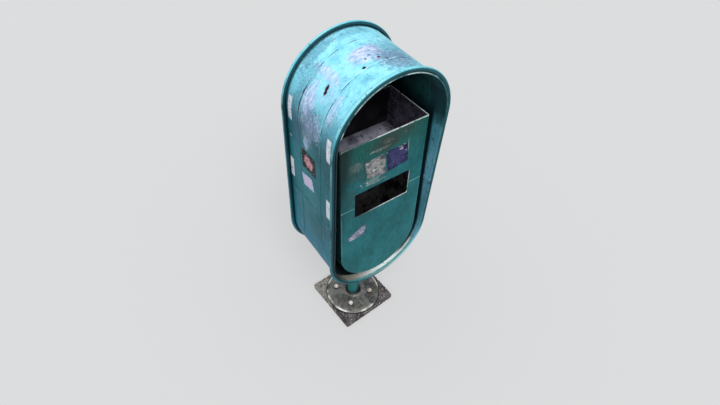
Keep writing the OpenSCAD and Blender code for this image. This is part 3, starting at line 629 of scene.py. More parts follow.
def dark_lines(f, colour):
    """Dark lines in the pressed grooves with a pale broken line beside them on top, and painted
    shade by the rims and low down."""
    groove = f.calc("SUBTRACT", f.calc("ABSOLUTE", f.axis("Y", f.sheet)), groove_y)
    line = f.rise(f.calc("ABSOLUTE", groove), 0.0024, 0.0012)
    broken = f.blotches(0.4, 0.62, 0.04, 5.0, seed=27.0)
    colour = f.tint(colour, shade(22, 60, 74), f.both(line, broken), 0.8)
    # A pale broken line beside each groove, on top only.
    beside = f.rise(f.calc("ABSOLUTE", f.calc("ADD", groove, 0.0042)), 0.0022, 0.0008)
    pale_line = f.blotches(0.42, 0.56, 0.05, 5.0, seed=12.0)
    pale_line = f.both(beside, pale_line, f.rise(f.axis("Z"), 1.1, 1.3))
    colour = f.tint(colour, shade(190, 228, 236), pale_line, 0.5)
    rim = f.rise(f.calc("ABSOLUTE", f.axis("Y", f.sheet)), casing_half - 0.026, casing_half - 0.016)
    colour = f.tint(colour, shade(20, 54, 62), rim, 0.85)
    low = f.rise(f.axis("Z"), 0.5, 0.4)
    return f.tint(colour, shade(44, 56, 56), f.both(low, f.blotches(0.46, 0.62, 0.03, 6.0)), 0.6)


def casing_finish():
    f, colour = weathered(
        "casing_paint", shade(12, 86, 96), shade(32, 111, 122), 1.2, 1.37, shade(126, 207, 228)
    )
    colour = dark_lines(f, worn_through(f, bleached_and_lit_top(f, colour)))
    f.uneven(f.cloud(0.012, 7.0, seed=14.0, roughness=0.65), 0.4, 0.0008)
    return f.done(colour, f.wander(0.26, 0.35, 0.05, 6.0, seed=5.0))


# The container leans back by this much, and its shade on the casing with it
lean = math.radians(3)


def casing_inside_finish():
    """The wraps' inner face: a ground paler than the outer paint, as painted light, with painted
    shade inside the hood, on the left, under the container, in the floor's left corner and
    beside the leaning container, and at the bottom a dirty band behind the lip with a painted
    highlight towards the right."""
    # Paler than the outer paint, as painted light.
    f, colour = weathered(
        "casing_inside", shade(70, 134, 152), shade(112, 174, 196), 2.0, 3.0, shade(50, 100, 110)
    )
    # Painted shade inside the hood, above about 1.2 m.
    dark = f.rise(f.wander(f.axis("Z"), 0.08, 0.05, 6.0), 1.16, 1.24)
    patchy = f.blotches(0.4, 0.6, 0.07, 6.0, seed=13.0)
    colour = f.tint(colour, f.tint(shade(26, 50, 54), shade(30, 78, 76), patchy), dark, 0.93)
    # Painted shade: near black on the left side, in the gap beside the container.
    left = f.both(f.rise(f.axis("X"), 0.02, -0.06), f.rise(f.axis("Z"), 0.42, 0.52))
    colour = f.tint(colour, shade(8, 14, 15), left, 0.97)
    colour = f.tint(colour, shade(22, 44, 52), f.blotches(0.55, 0.72, 0.03, 8.0, seed=3.0), 0.6)
    floor = f.rise(f.wander(f.axis("Z"), 0.05, 0.03, 6.0), 0.58, 0.47)
    deep = f.wander(f.axis("Y"), 0.012, 0.02, 5.0, seed=21.0)
    # Painted shade on the floor under the container.
    colour = f.tint(colour, shade(26, 32, 32), f.both(floor, f.rise(deep, -0.122, -0.114)))
    lip = f.both(floor, f.rise(deep, -0.134, -0.146))
    colour = f.tint(colour, shade(72, 142, 142), lip, 0.85)
    band = f.both(floor, f.rise(deep, -0.112, -0.124), f.rise(deep, -0.152, -0.14))
    colour = f.tint(colour, shade(150, 138, 120), band, 0.9)
    rusty = f.both(band, f.blotches(0.54, 0.68, 0.014, 6.0, seed=7.0))
    colour = f.tint(colour, shade(74, 62, 50), rusty, 0.8)
    # Painted highlight: near white on the band towards the right.
    rubbed = f.both(band, f.rise(f.axis("X"), -0.13, 0.05), f.blotches(0.3, 0.44, 0.03, 5.0, seed=6.0))
    colour = f.tint(colour, shade(232, 242, 242), rubbed)
    # Painted shade in the floor's left corner.
    corner = f.both(floor, f.rise(f.axis("X"), -0.14, -0.21))
    colour = f.tint(colour, shade(34, 36, 34), corner, 0.75)
    # Painted shadow of the leaning container on the right inner wall.
    painted_container_shadow = f.calc("SUBTRACT", f.axis("Y"), f.calc("MULTIPLY", f.axis("Z"), math.tan(lean)))
    painted_container_shadow = f.both(
        f.rise(painted_container_shadow, -0.174, -0.162), f.rise(f.axis("Z"), 1.24, 1.16), f.rise(f.axis("X"), 0.1, 0.16)
    )
    colour = f.tint(colour, shade(8, 22, 26), painted_container_shadow, 0.95)
    f.uneven(f.cloud(0.012, 6.0), 0.3, 0.0008)
    return f.done(colour, f.wander(0.3, 0.4, 0.04, 5.0))


def worn_edge_finish():
    f = Finish("worn_edge", roughness=0.4, specular=0.25)
    colour = f.tint(shade(18, 60, 66), shade(44, 104, 112), f.blotches(0.42, 0.6, 0.03, 6.0))
    bare = f.blotches(0.42, 0.56, 0.045, 6.0, seed=5.0)
    top = f.both(bare, f.rise(f.axis("Z"), 1.2, 1.32), f.rise(f.axis("X"), 0.2, 0.04))
    # Painted highlight: pale along the lower right edge.
    low = f.both(f.rise(f.axis("Z"), 0.6, 0.44), f.rise(f.axis("X"), -0.1, 0.06))
    colour = f.tint(colour, shade(176, 200, 196), f.calc("MAXIMUM", top, low))
    # Painted shade: near black along the left edge below the top.
    left = f.rise(f.axis("X"), -0.08, -0.16)
    colour = f.tint(colour, shade(10, 20, 22), f.both(left, f.rise(f.axis("Z"), 1.34, 1.24)), 0.9)
    f.uneven(f.cloud(0.003, 4.0), 0.3, 0.0004)
    return f.done(colour)


casing_paints = [casing_finish(), casing_inside_finish(), worn_edge_finish()]
upper_s = np.linspace(-seam_s, seam_s, 300)
hood = make_piece("hood_sheet", casing_sheet(upper_s), casing_paints)
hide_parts("upper_wrap")
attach(hood, "stand")

lap = 0.02
lower_s = np.unique(np.concatenate([
    np.linspace(seam_s - lap, girth - seam_s + lap, 280),
    seam_s + np.linspace(-0.003, 0.006, 10), girth - seam_s - np.linspace(-0.003, 0.006, 10),
]))
from_seam = np.minimum(lower_s - seam_s, girth - seam_s - lower_s)
joggle = -(sheet_t + 0.0002)*(1 - ease(from_seam, 0.0005, 0.004))
trough = make_piece("trough_sheet", casing_sheet(lower_s, joggle), casing_paints)
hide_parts("lower_wrap")
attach(trough, "stand")

# ---- Rolled rims ----
# The edge of each wrap is rolled outwards into a bead about 16 mm thick, front and rear. The
# roll's own edge shows as a fine line, and the paint has rubbed off along its crest, paler
# higher up as a painted highlight. Painted shade darkens its inner side and front face.


def bead(middle_y, facing):
    """A tube round the casing's outline. Its radius dips in a narrow groove where the roll
    closes, and waves a little along the way."""
    low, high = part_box("front_rim")
    tube_r = (high.y - low.y)/2
    s = np.linspace(-girth/2, girth/2, 760, endpoint=False)[:, None]
    turn = np.linspace(0, 2*math.pi, 36, endpoint=False)[None, :]
    closing = np.exp(-((turn - math.pi - facing*0.75)/0.16)**2)
    wave = 0.00012*ripple(s, 0.02*np.cos(turn), 0.09, 41)
    radius = tube_r - 0.0009*closing - 0.0002 + wave
    x, z, out_x, out_z = casing_line(s)
    out = tube_r + 0.0001 + radius*np.cos(turn)
    y = middle_y + radius*np.sin(turn)
    points = np.stack([x + out_x*out, y, z + out_z*out], -1)
    sheet = np.stack([s + 0*turn, np.cos(turn) + 0*s, np.sin(turn) + 0*s], -1)
    return [patch(points, (True, True), sheet=sheet)]


def rim_finish():
    f, colour = weathered(
        "rim_paint", shade(12, 72, 82), shade(36, 108, 120), 1.2, 1.36, shade(104, 196, 214)
    )
    # Paint rubbed off along the crest, paler higher up as a painted highlight.
    crest = f.rise(f.axis("Y", f.sheet), 0.35, 0.95)
    rubbed = f.both(crest, f.blotches(0.36, 0.56, 0.06, 6.0, seed=3.0))
    high = f.rise(f.axis("Z"), 1.0, 1.36)
    colour = f.tint(
        colour, shade(150, 212, 222),
        f.calc("MULTIPLY", rubbed, f.calc("ADD", f.calc("MULTIPLY", high, 0.5), 0.12)),
    )
    # Painted shade on the roll's inner side, against the casing.
    colour = f.tint(colour, shade(16, 44, 50), f.rise(f.axis("Y", f.sheet), -0.25, -0.75))
    # Painted shade on the roll's front face, above the trough.
    forward = f.calc(
        "SUBTRACT", f.axis("Z", f.sheet), f.calc("MULTIPLY", f.rise(f.axis("Y"), 0.0, 0.05), 0.2)
    )
    forward = f.both(f.rise(forward, -0.62, -0.97), f.rise(f.axis("Z"), 0.5, 0.7))
    colour = f.tint(colour, shade(10, 50, 58), forward, 0.9)
    shaded = f.both(
        f.rise(f.axis("X"), 0.02, 0.16), f.rise(f.axis("Y"), 0.0, -0.1),
        f.rise(f.axis("Y", f.sheet), 1.0, 0.6),
    )
    colour = f.tint(colour, shade(26, 82, 88), shaded, 0.8)
    # Painted highlight: pale on the front of the roll low on the right.
    low_right = f.both(
        f.rise(f.axis("Z"), 0.64, 0.5), f.rise(f.axis("X"), 0.02, 0.14),
        f.rise(f.axis("Z", f.sheet), -0.1, -0.7),
    )
    colour = f.tint(colour, shade(120, 206, 220), low_right, 0.75)
    chips = f.blotches(0.63, 0.69, 0.007, 6.0, seed=6.0)
    colour = f.tint(colour, shade(44, 40, 44), chips)
    f.uneven(f.cloud(0.008, 6.0), 0.35, 0.0006)
    return f.done(colour, f.wander(0.24, 0.3, 0.04, 5.0))


rim_paint = rim_finish()
for rim_name, node_name, facing in (("front_bead", "front_rim", -1), ("rear_bead", "rear_rim", 1)):
    rim_low, rim_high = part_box(node_name)
    rim = make_piece(rim_name, bead((rim_low.y + rim_high.y)/2, facing), [rim_paint])
    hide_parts(node_name)
    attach(rim, "stand")

# ---- Back plate ----
# A flat plate of the same steel, set just inside the rear edge and welded round. The heat of
# the weld has left it very slightly dished between the rivets of the rest rail.


def back_mesh():
    """The casing's outline shrunk to the plate's, drawn in towards its middle ring by ring. The
    faces sink by slow waves, which fade at the weld and round the four rivets."""
    low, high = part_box("back_panel")
    s = np.linspace(-girth/2, girth/2, 420, endpoint=False)[:, None]
    inward = np.linspace(0, 1, 46)[None, :]**0.8
    x, z, out_x, out_z = casing_line(s)
    gap = casing_r - high.x
    middle_z = (crown_z + trough_z)/2
    x, z = inward*(x - out_x*gap), middle_z + inward*(z - out_z*gap - middle_z)
    calm = 1 - ease(inward, 0.85, 1.0)
    rail_low, rail_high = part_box("rail_rivets")
    head_r = 0.0045
    for at_x in (rail_low.x + head_r, rail_high.x - head_r):
        for at_z in (rail_low.z + head_r, rail_high.z - head_r):
            calm = calm*(1 - np.exp(-((x - at_x)**2 + (z - at_z)**2)/0.03**2))
    sink = calm*(0.0012 + 0.0009*ripple(x, z, 0.3, 51) + 0.0003*ripple(x, z, 0.08, 52))
    return plate(
        np.stack([x, high.y - sink, z], -1), np.stack([x, low.y - sink, z], -1),
        finish=(0, 1, 0), wrap_u=True, pole=True,
    )


def back_finish():
    f, colour = weathered(
        "back_paint", shade(14, 84, 100), shade(30, 104, 122), 1.3, 1.5, shade(86, 160, 174)
    )
    rust = f.both(f.blotches(0.63, 0.7, 0.012, 7.0, seed=2.0), f.blotches(0.5, 0.65, 0.2, 3.0, seed=6.0))
    colour = f.tint(colour, shade(86, 54, 40), rust)
    scuffed = f.both(
        f.spot((-0.06, 0.15, 0.98), (0.07, 0.1, 0.05), 0.7, 0.5, 0.03),
        f.blotches(0.5, 0.66, 0.012, 7.0, stretch=(3, 1, 1), seed=8.0),
    )
    colour = f.tint(colour, shade(120, 160, 170), scuffed, 0.6)
    colour = f.tint(
        colour, shade(58, 66, 60), f.both(f.rise(f.axis("Z"), 0.62, 0.42), f.blotches(0.4, 0.65, 0.05, 6.0))
    )
    f.uneven(f.cloud(0.012, 6.0), 0.3, 0.0008)
    return f.done(colour, f.wander(0.3, 0.35, 0.05, 5.0))


back = make_piece("back_plate", back_mesh(), [back_finish(), casing_paints[1]])
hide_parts("back_panel")
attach(back, "stand")

# ---- Rest rail, hinge brackets and their fixings ----
# Folded and cut from the casing's steel and hidden inside it: the rail carries two rubber
# buffers for the container to lean on, and the brackets hold the rod that it tips about.

dress(casing_paints[1], "rest_rail", "hinge_brackets")
inner_zinc = zinc_finish("inner_zinc", shade(168, 168, 166), shade(120, 116, 112))
dress(inner_zinc, "rail_rivets", "buffer_nuts", "hinge_rod", "hinge_clips")


def rubber_finish():
    f = Finish("buffer_rubber", roughness=0.8, specular=0.3)
    colour = f.tint(shade(30, 30, 31), shade(64, 62, 60), f.blotches(0.5, 0.72, 0.008, 6.0))
    f.uneven(f.cloud(0.0015, 4.0), 0.4, 0.0003)
    return f.done(colour)


dress(rubber_finish(), "rest_buffers", "tilt_stops")

# ---- Reflective strips ----
# Four strips of pale retroreflective film glued to the left side near the rims. Their corners
# are cut round, and dirt has crept in along their edges.


def glued(centre_s, centre_y, half_s, half_y, lift, tilt=0.0, ragged=0.0, seed=1, roundness=14):
    """A thin film on the casing: rings about its middle out to a rounded rectangle, whose edge
    wanders by ragged where it is torn. It follows the casing's dents and grooves."""
    turns = np.linspace(0, 2*math.pi, 160, endpoint=False)[:, None]
    out = np.linspace(0, 1, 16)[None, :]
    reach = 1/((np.abs(np.cos(turns)))**roundness + (np.abs(np.sin(turns)))**roundness)**(1/roundness)
    torn = 1 + ragged*ripple(np.cos(turns), np.sin(turns), 0.5, seed) + 0.5*ragged*ripple(
        turns, turns, 0.12, seed + 1
    )
    a, b = out*reach*torn*half_s*np.cos(turns), out*reach*torn*half_y*np.sin(turns)
    cosine, sine = math.cos(tilt), math.sin(tilt)
    s, y = centre_s + cosine*a - sine*b, centre_y + sine*a + cosine*b
    sheet = np.stack([a/half_s, b/half_y, out + 0*a], -1)
    return plate(on_casing(s, y, lift), on_casing(s, y, 0.00004), sheet, wrap_u=True, pole=True)


def film_finish():
    f = Finish("reflector_film", roughness=0.3, specular=0.5)
    colour = f.tint(shade(196, 208, 220), shade(228, 232, 236), f.blotches(0.4, 0.62, 0.03, 5.0))
    cells = f.node("ShaderNodeTexVoronoi", {"Vector": f.place, "Scale": 420.0}).outputs["Distance"]
    colour = f.tint(colour, shade(170, 184, 200), f.rise(cells, 0.45, 0.75))
    colour = f.tint(colour, shade(104, 112, 124), f.blotches(0.57, 0.7, 0.012, 7.0, seed=4.0))
    colour = f.tint(colour, shade(92, 110, 122), f.rise(f.axis("Z", f.sheet), 0.9, 0.99))
    f.uneven(cells, 0.15, 0.0003)
    return f.done(colour)


strip_low, strip_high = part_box("reflector_strips")
strip_half_y, strip_half_s = 0.0125, 0.05
front_y, rear_y = strip_low.y + strip_half_y, strip_high.y - strip_half_y
core_r = 0.006
lock_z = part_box("lock_core")[0].z + core_r
# Where each strip's middle is: its y, and its height above the lock
strip_places = [(rear_y - 0.009, 0.121), (rear_y, -0.164), (front_y, 0.106), (front_y + 0.001, -0.176)]
strip_patches = []
for at_y, above_lock in strip_places:
    at_s = -(quarter + crown_z - (lock_z + above_lock))
    strip_patches += glued(at_s, at_y, strip_half_s, strip_half_y, 0.00055, seed=7)
strips = make_piece("reflective_strips", strip_patches, [film_finish()])
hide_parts("reflector_strips")
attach(strips, "stand")

# ---- Worn stickers on the side ----
# Two square paper stickers between the grooves of the left side. One is dark with its face
# rubbed off in the middle, the other has bleached to lilac. Neither shows any print now.


def paper_finish(name, ground, worn, worn_reach, ragged=0.5, dirt=0.5, grain=0.008, seed=2.0):
    """Old printed paper: a ground colour, a rubbed middle, creases and dirt."""
    f = Finish(name, roughness=0.6, specular=0.25)
    rubbed = f.spot((0, 0, 0), (worn_reach, worn_reach, 9), ragged, 0.2, 1.6*grain, f.sheet, seed)
    colour = f.tint(
        ground, worn, f.both(rubbed, f.blotches(0.34, 0.56, grain, 6.0, seed=seed, roughness=0.7))
    )
    colour = f.tint(colour, shade(58, 54, 60), f.blotches(0.54, 0.7, 0.7*grain, 7.0, seed=seed + 5), dirt)
    scratch = f.cloud(0.005, 4.0, stretch=(6, 1, 1.5), seed=seed + 9)
    colour = f.tint(colour, shade(206, 206, 214), f.rise(scratch, 0.61, 0.68), 0.7)
    f.uneven(f.cloud(0.006, 5.0), 0.3, 0.0004)
    return f.done(colour)


def side_s(z):
    """Distance round from the crown to a height on the left side."""
    return -(quarter + crown_z - z)


dark_paper = paper_finish("dark_sticker", shade(16, 16, 20), shade(208, 150, 162), 0.6, ragged=0.2, dirt=0.2)
lilac_paper = paper_finish(
    "lilac_sticker", shade(176, 180, 212), shade(204, 176, 200), 0.7, ragged=0.4, dirt=0.4
)
side_stickers = [
    ("dark_sticker", glued(side_s(1.065), 0.0115, 0.0435, 0.046, 0.0005, 0.06, 0.01, 61), dark_paper),
    ("lilac_sticker", glued(side_s(0.962), 0.0195, 0.028, 0.0355, 0.0005, 0.22, 0.05, 63), lilac_paper),
]
for sticker_name, sticker_patches, paper in side_stickers:
    sticker = make_piece(sticker_name, sticker_patches, [paper])
    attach(sticker, "stand")

# ---- Cam lock ----
# A round-headed barrel through the side, painted over with the casing, and a turning core of
# chromed brass. The hooked cam inside is plated steel, held by one screw.

lock_chrome = zinc_finish(
    "lock_chrome", shade(226, 228, 230), shade(186, 188, 190), roughness=0.28, metallic=0.85
)
dress(rim_paint, "lock_housing")
dress(lock_chrome, "lock_core")
dress(inner_zinc, "lock_nut", "lock_cam", "cam_screw")

# ---- Container: front panel ----
# A pressed sheet with a litter slot, whose edge is folded back all round. It leans back, is
# creased level with the slot, and its top is hemmed, where the paint is rubbed to bare metal.

panel_low, panel_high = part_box("front_panel")
foot_y, foot_z = panel_low.y, panel_low.z + sheet_t*math.sin(lean)
panel_h = (panel_high.z - foot_z)/math.cos(lean)
panel_r = panel_high.x
slot_w, slot_h, slot_top_drop = 0.252, 0.123, 0.229
slot_mid = panel_h - slot_top_drop - slot_h/2
crease_s = 0.455


def in_container(x, back, up):
    """A place in the leaning container: x across, back from the panel's face, up along it."""
    y = foot_y + back*math.cos(lean) + up*math.sin(lean)
    z = foot_z + up*math.cos(lean) - back*math.sin(lean)
    return np.stack([x + 0*y, y, z], -1)


def panel_relief(x, up):
    """How far the panel is pushed in: slow waves, a knock, and the crease beside the slot."""
    wave = 0.0009*ripple(x, up, 0.3, 71) + 0.0003*ripple(x, up, 0.1, 72)
    knock = 0.0016*np.exp(-((x + 0.02)**2 + (up - 0.2)**2)/0.05**2)
    beside = ease(np.abs(x), slot_w/2 + 0.002, slot_w/2 + 0.008)
    crease = 0.0009*beside*np.exp(-((up - crease_s - 0.004*np.sin(18*x))/0.0022)**2)
    calm = ease(panel_r - np.abs(x), 0.002, 0.03)*ease(panel_h - up, 0.002, 0.03)
    calm = calm*ease(panel_r + 0.002 - np.hypot(x, np.minimum(up - panel_r, 0)), 0.004, 0.03)
    return (wave + knock)*calm + crease


def slot_reach(turn, grow):
    """From the slot's middle to its edge, grown by grow: a p-norm with small round corners."""
    across, along = (slot_w/2 + grow), (slot_h/2 + grow)
    power = 44
    return ((np.abs(np.cos(turn))/across)**power + (np.abs(np.sin(turn))/along)**power)**(-1/power)


def panel_reach(turn, shrink):
    """From the slot's middle to the panel's edge: to a side or the top, or where the ray passes
    below the sides, to the round foot, by the quadratic for a ray and a circle."""
    half, top, power = panel_r - shrink, panel_h - slot_mid - shrink, 60
    cosine, sine = np.cos(turn), np.sin(turn)
    slope = (np.abs(cosine)/half)**power + (np.maximum(sine, 0)/top)**power
    upper = np.maximum(slope, 1e-300)**(-1/power)
    drop = panel_r - slot_mid
    round_foot = drop*sine + np.sqrt(np.maximum(half**2 - (drop*cosine)**2, 0))
    return np.where((sine < 0) & (upper*sine < drop), round_foot, upper)


def panel_patches():
    """Rays from the slot's middle carry rows from the panel's edge over its face, round the
    slot's fold and back behind it. A row is (share of the way out, slot's growth, edge's
    shrinkage, depth)."""
    corners = np.array([math.atan2(slot_h/2, slot_w/2), math.atan2(panel_h - slot_mid, panel_r)])
    corners = np.concatenate([corners, -corners, corners + math.pi, math.pi - corners])
    close = np.array([-0.012, -0.006, -0.002, 0, 0.002, 0.006, 0.012])
    near_corners = (corners[:, None] + close).ravel() % (2*math.pi)
    even = np.linspace(0, 2*math.pi, 460, endpoint=False)
    turns = np.sort(np.concatenate([even, near_corners]))[:, None]
    fold = 0.004
    edge = [
        (1, 0.0015, 0, sheet_t), (1, 0.0015, 0, 0.0015), (1, 0.0015, 0.0007, 0.0005), (1, 0.0015, 0.003, 0)
    ]
    face = [(v, 0.0015, 0.003, 0) for v in np.linspace(0.985, 0.015, 54)]
    round_slot = [(0, 0.0015, 0, 0), (0, 0.0004, 0, 0.0004), (0, 0, 0, 0.0015), (0, 0, 0, fold)]
    behind = [(0, 0.0006, 0, fold + 0.0006), (0, 0.006, 0, fold + 0.0006), (0, 0.006, 0, sheet_t)]
    behind += [(v, 0.006, 0, sheet_t) for v in np.linspace(0.04, 0.97, 40)]
    rows = edge + face + round_slot + behind
    share, grow, shrink, depth = (np.array(column)[None, :] for column in zip(*rows))
    reach = slot_reach(turns, grow)*(1 - share) + panel_reach(turns, shrink)*share
    x, up = reach*np.cos(turns), slot_mid + reach*np.sin(turns)
    points = in_container(x, depth + panel_relief(x, up), up)
    finish = np.zeros((len(turns), len(rows)), int)
    at_top = (up[:, 1] > panel_h - 0.004)[:, None]
    finish[:, :len(edge) - 1] = np.where(at_top, 1, 0)
    slot_from, behind_from = len(edge + face) + 1, len(edge + face + round_slot) + 1
    finish[:, slot_from:behind_from] = 1
    finish[:, behind_from:] = 2
    return [patch(points, (True, True), finish, np.stack([x, up, depth + 0*x], -1))]


def hem_patches():
    """The strip folded down behind the top edge."""
    low_edge = 0.014
    x = np.linspace(-panel_r + 0.0026, panel_r - 0.0026, 90)[:, None]
    up = panel_h - np.array([low_edge, low_edge - 0.0008, 0.006, 0.0012, 0.0003, 0.0])[None, :]
    fold = np.array([0.0036, 0.0042, 0.0042, 0.0042, 0.0036, 0.0026])[None, :]
    sheet = np.stack([x + 0*up, up + 0*x, 0*x + 0*up], -1)
    face = in_container(x, fold + panel_relief(x, up), up + 0*x)
    return plate(face, in_container(x, 0.002 + panel_relief(x, up), up + 0*x), sheet, (1, 1, 1))


def container_finish():
    f, colour = weathered(
        "container_paint", shade(10, 80, 84), shade(30, 106, 112), 2.0, 3.0, shade(60, 120, 124), 0.8
    )
    green = f.rise(f.wander(f.axis("Z"), 0.2, 0.1, 5.0, seed=5.0), 1.08, 1.28)
    colour = f.tint(colour, shade(22, 78, 70), green, 0.9)
    grain = f.cloud(0.0028, 5.0, stretch=(1, 14, 1), seed=53.0, roughness=0.7, source=f.sheet)
    colour = f.tint(colour, shade(8, 54, 58), f.rise(grain, 0.52, 0.7), 0.55)
    colour = f.tint(colour, shade(58, 132, 136), f.rise(grain, 0.46, 0.32), 0.55)
    mottle = f.blotches(0.5, 0.64, 0.024, 8.0, seed=57.0, roughness=0.72)
    colour = f.tint(colour, shade(14, 66, 72), mottle, 0.38)
    # Marks on the panel, as (x, up, half-size across, half-size up, strength, grain)
    pale = [
        (-0.02, 0.692, 0.04, 0.006, 0.45, 0.01), (0.008, 0.716, 0.02, 0.01, 0.45, 0.008),
        (-0.125, 0.655, 0.03, 0.02, 0.2, 0.01),
        (0.104, 0.64, 0.003, 0.04, 0.45, 0.008), (-0.101, 0.558, 0.003, 0.003, 1.0, 0.004),
        (-0.073, 0.555, 0.003, 0.003, 1.0, 0.004),
        (0.086, 0.723, 0.003, 0.003, 0.9, 0.004), (-0.04, 0.545, 0.05, 0.006, 0.35, 0.01),
        (-0.05, 0.56, 0.035, 0.01, 0.3, 0.01),
    ]
    colour = scraped(f, colour, pale, shade(196, 200, 196), f.sheet)
    stain = [
        (0.005, 0.7, 0.05, 0.03, 0.9, 0.014), (-0.15, 0.64, 0.035, 0.05, 0.6, 0.014),
        (0.05, 0.735, 0.09, 0.016, 0.75, 0.012), (0.02, 0.71, 0.1, 0.02, 0.5, 0.008),
        (-0.1, 0.62, 0.03, 0.05, 0.5, 0.014), (-0.14, 0.5, 0.03, 0.06, 0.4, 0.016),
    ]
    colour = scraped(f, colour, stain, shade(52, 54, 50), f.sheet)
    shadow = f.rise(
        f.calc("SUBTRACT", f.axis("X", f.sheet), f.calc("MULTIPLY", f.axis("Y", f.sheet), 0.1)), -0.19,
        -0.245,
    )
    shadow = f.both(shadow, f.rise(f.axis("Y", f.sheet), 0.2, 0.6))
    colour = f.tint(colour, shade(10, 34, 34), shadow, 0.9)
    line = f.rise(f.calc("ABSOLUTE", f.calc("SUBTRACT", f.axis("Y", f.sheet), crease_s)), 0.0026, 0.0012)
    side_x = f.calc("ABSOLUTE", f.axis("X", f.sheet))
    beside = f.rise(side_x, slot_w/2, slot_w/2 + 0.004)
    colour = f.tint(colour, shade(112, 162, 160), f.both(line, beside), 0.75)
    # Painted highlight: pale streaks down the lower half of the panel's side edges.
    edge = f.both(f.rise(side_x, panel_r - 0.007, panel_r - 0.002), f.blotches(0.3, 0.6, 0.04, 5.0, seed=4.0))
    edge = f.both(edge, f.rise(f.axis("Y", f.sheet), 0.5, 0.4))
    colour = f.tint(colour, shade(90, 140, 146), edge, 0.4)
    # Painted shade: near black on the container's outer sides behind the panel.
    shaded_flank = f.both(
        f.rise(f.calc("ABSOLUTE", f.axis("X")), panel_r - 0.006, panel_r - 0.002),
        f.rise(f.axis("Y", f.place), foot_y - 0.1, foot_y),
    )
    behind = f.rise(
        f.calc("SUBTRACT", f.axis("Y"), f.calc("MULTIPLY", f.axis("Z"), math.tan(lean))), foot_y - 0.0205,
        foot_y - 0.0185,
    )
    colour = f.tint(colour, shade(8, 20, 22), f.both(shaded_flank, behind), 0.85)
    specks = f.blotches(0.68, 0.74, 0.004, 4.0, seed=15.0)
    colour = f.tint(colour, shade(26, 40, 42), specks)
    f.uneven(f.cloud(0.014, 7.0, seed=3.0), 0.3, 0.0008)
    return f.done(colour, f.wander(0.28, 0.35, 0.05, 6.0, seed=8.0))


def bright_edge_finish():
    f = Finish("rubbed_steel", roughness=0.32, metallic=0.35)
    colour = f.tint(shade(186, 200, 200), shade(238, 242, 240), f.blotches(0.4, 0.6, 0.03, 6.0))
    colour = f.tint(colour, shade(92, 120, 118), f.blotches(0.56, 0.66, 0.02, 6.0, seed=5.0))
    painted = f.rise(f.wander(f.axis("X"), 0.08, 0.04, 5.0, seed=7.0), 0.03, -0.04)
    colour = f.tint(colour, shade(40, 66, 66), painted, 0.85)
    f.uneven(f.cloud(0.003, 4.0), 0.3, 0.0004)
    return f.done(colour)


def tray_finish():
    f = Finish("tray_metal", roughness=0.6, specular=0.2)
    colour = f.tint(shade(44, 42, 52), shade(84, 82, 98), f.blotches(0.38, 0.65, 0.06, 7.0, seed=2.0))
    colour = f.tint(colour, shade(26, 24, 26), f.blotches(0.55, 0.7, 0.014, 7.0, seed=5.0))
    colour = f.tint(colour, shade(140, 142, 164), f.blotches(0.58, 0.7, 0.009, 6.0, seed=8.0), 0.6)
    # Painted shade: near black on the left.
    colour = f.tint(colour, shade(14, 13, 14), f.rise(f.axis("X"), 0.06, -0.08), 0.85)
    f.uneven(f.cloud(0.006, 6.0), 0.4, 0.0008)
    return f.done(colour, f.wander(0.4, 0.4, 0.03, 5.0))


container_paint, rubbed_steel, tray_metal = container_finish(), bright_edge_finish(), tray_finish()
panel = make_piece(
    "panel_sheet", panel_patches() + hem_patches(), [container_paint, rubbed_steel, tray_metal]
)
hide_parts("front_panel")
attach(panel, "container")

# ---- Container: sides, tray and shield ----
# One sheet bent into a deep U makes the sides and the round bottom, with its top edges
# hemmed. The tray's floor and the plate behind it are plain sheet, grey with ash and dust,
# with painted shade along the floor's sides and back, and the plate painted near black as shade.

container_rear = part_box("cradle_back")[1].y


def bent_line(q, inset):
    """The container's U by the distance q from the middle of its bottom, positive to the right:
    a quarter of a circle and then a straight side. Gives x, up and the outward direction."""
    turn = np.clip(np.abs(q)/panel_r, 0, math.pi/2)*np.sign(q)
    above = np.maximum(np.abs(q) - math.pi/2*panel_r, 0)
    out_x, out_up = np.sin(turn), -np.cos(turn)*(above == 0)
    return out_x*(panel_r - inset), panel_r + out_up*(panel_r - inset) + above, out_x, out_up


def container_patches():
    """The U carried back from the panel to the upright rear plane. The wall doubles at the
    hem, and slow waves move both faces alike."""
    end = math.pi/2*panel_r + panel_h - panel_r
    hem = end - np.array([0.012, 0.0128, 0.0136])
    q = np.unique(np.concatenate([np.linspace(-end, end, 200), -hem, hem]))[:, None]
    back = np.linspace(0, 1, 40)[None, :]
    wave = 0.0007*ripple(q, 0.26*back, 0.22, 81)*np.sin(math.pi*back)**0.5
    grids = []
    for inner in (0, 1):
        wall = inner*sheet_t*(1 + ease(np.abs(q), end - 0.0136, end - 0.012))
        x, up, out_x, out_up = bent_line(q, wall)
        deep = (container_rear - foot_y - up*math.sin(lean))/math.cos(lean)
        grids.append(in_container(x + out_x*wave, sheet_t + back*(deep - sheet_t), up + out_up*wave))
    sheet = np.stack([q + 0*back, back + 0*q, 0*q + 0*back], -1)
    return plate(grids[0], grids[1], sheet, (0, 2, 1))


def tray_floor_patches():
    """The tray's sloping floor: rows from the panel back to the shield, with shallow dents."""
    low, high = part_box("tray_floor")
    slope = math.tan(math.radians(5))
    x = np.linspace(low.x, high.x, 80)[:, None]
    y = np.linspace(low.y, high.y, 60)[None, :]
    calm = ease(high.x - np.abs(x), 0, 0.02)*ease(y - low.y, 0, 0.02)*ease(high.y - y, 0, 0.02)
    top = high.z - (high.y - y)*slope + calm*(0.0009*ripple(x, y, 0.14, 91) + 0.0004*ripple(x, y, 0.05, 92))
    grids = [np.stack([x + 0*y, y + 0*x, top - t], -1) for t in (0, sheet_t)]
    return plate(grids[0], grids[1], finish=(0, 1, 1))


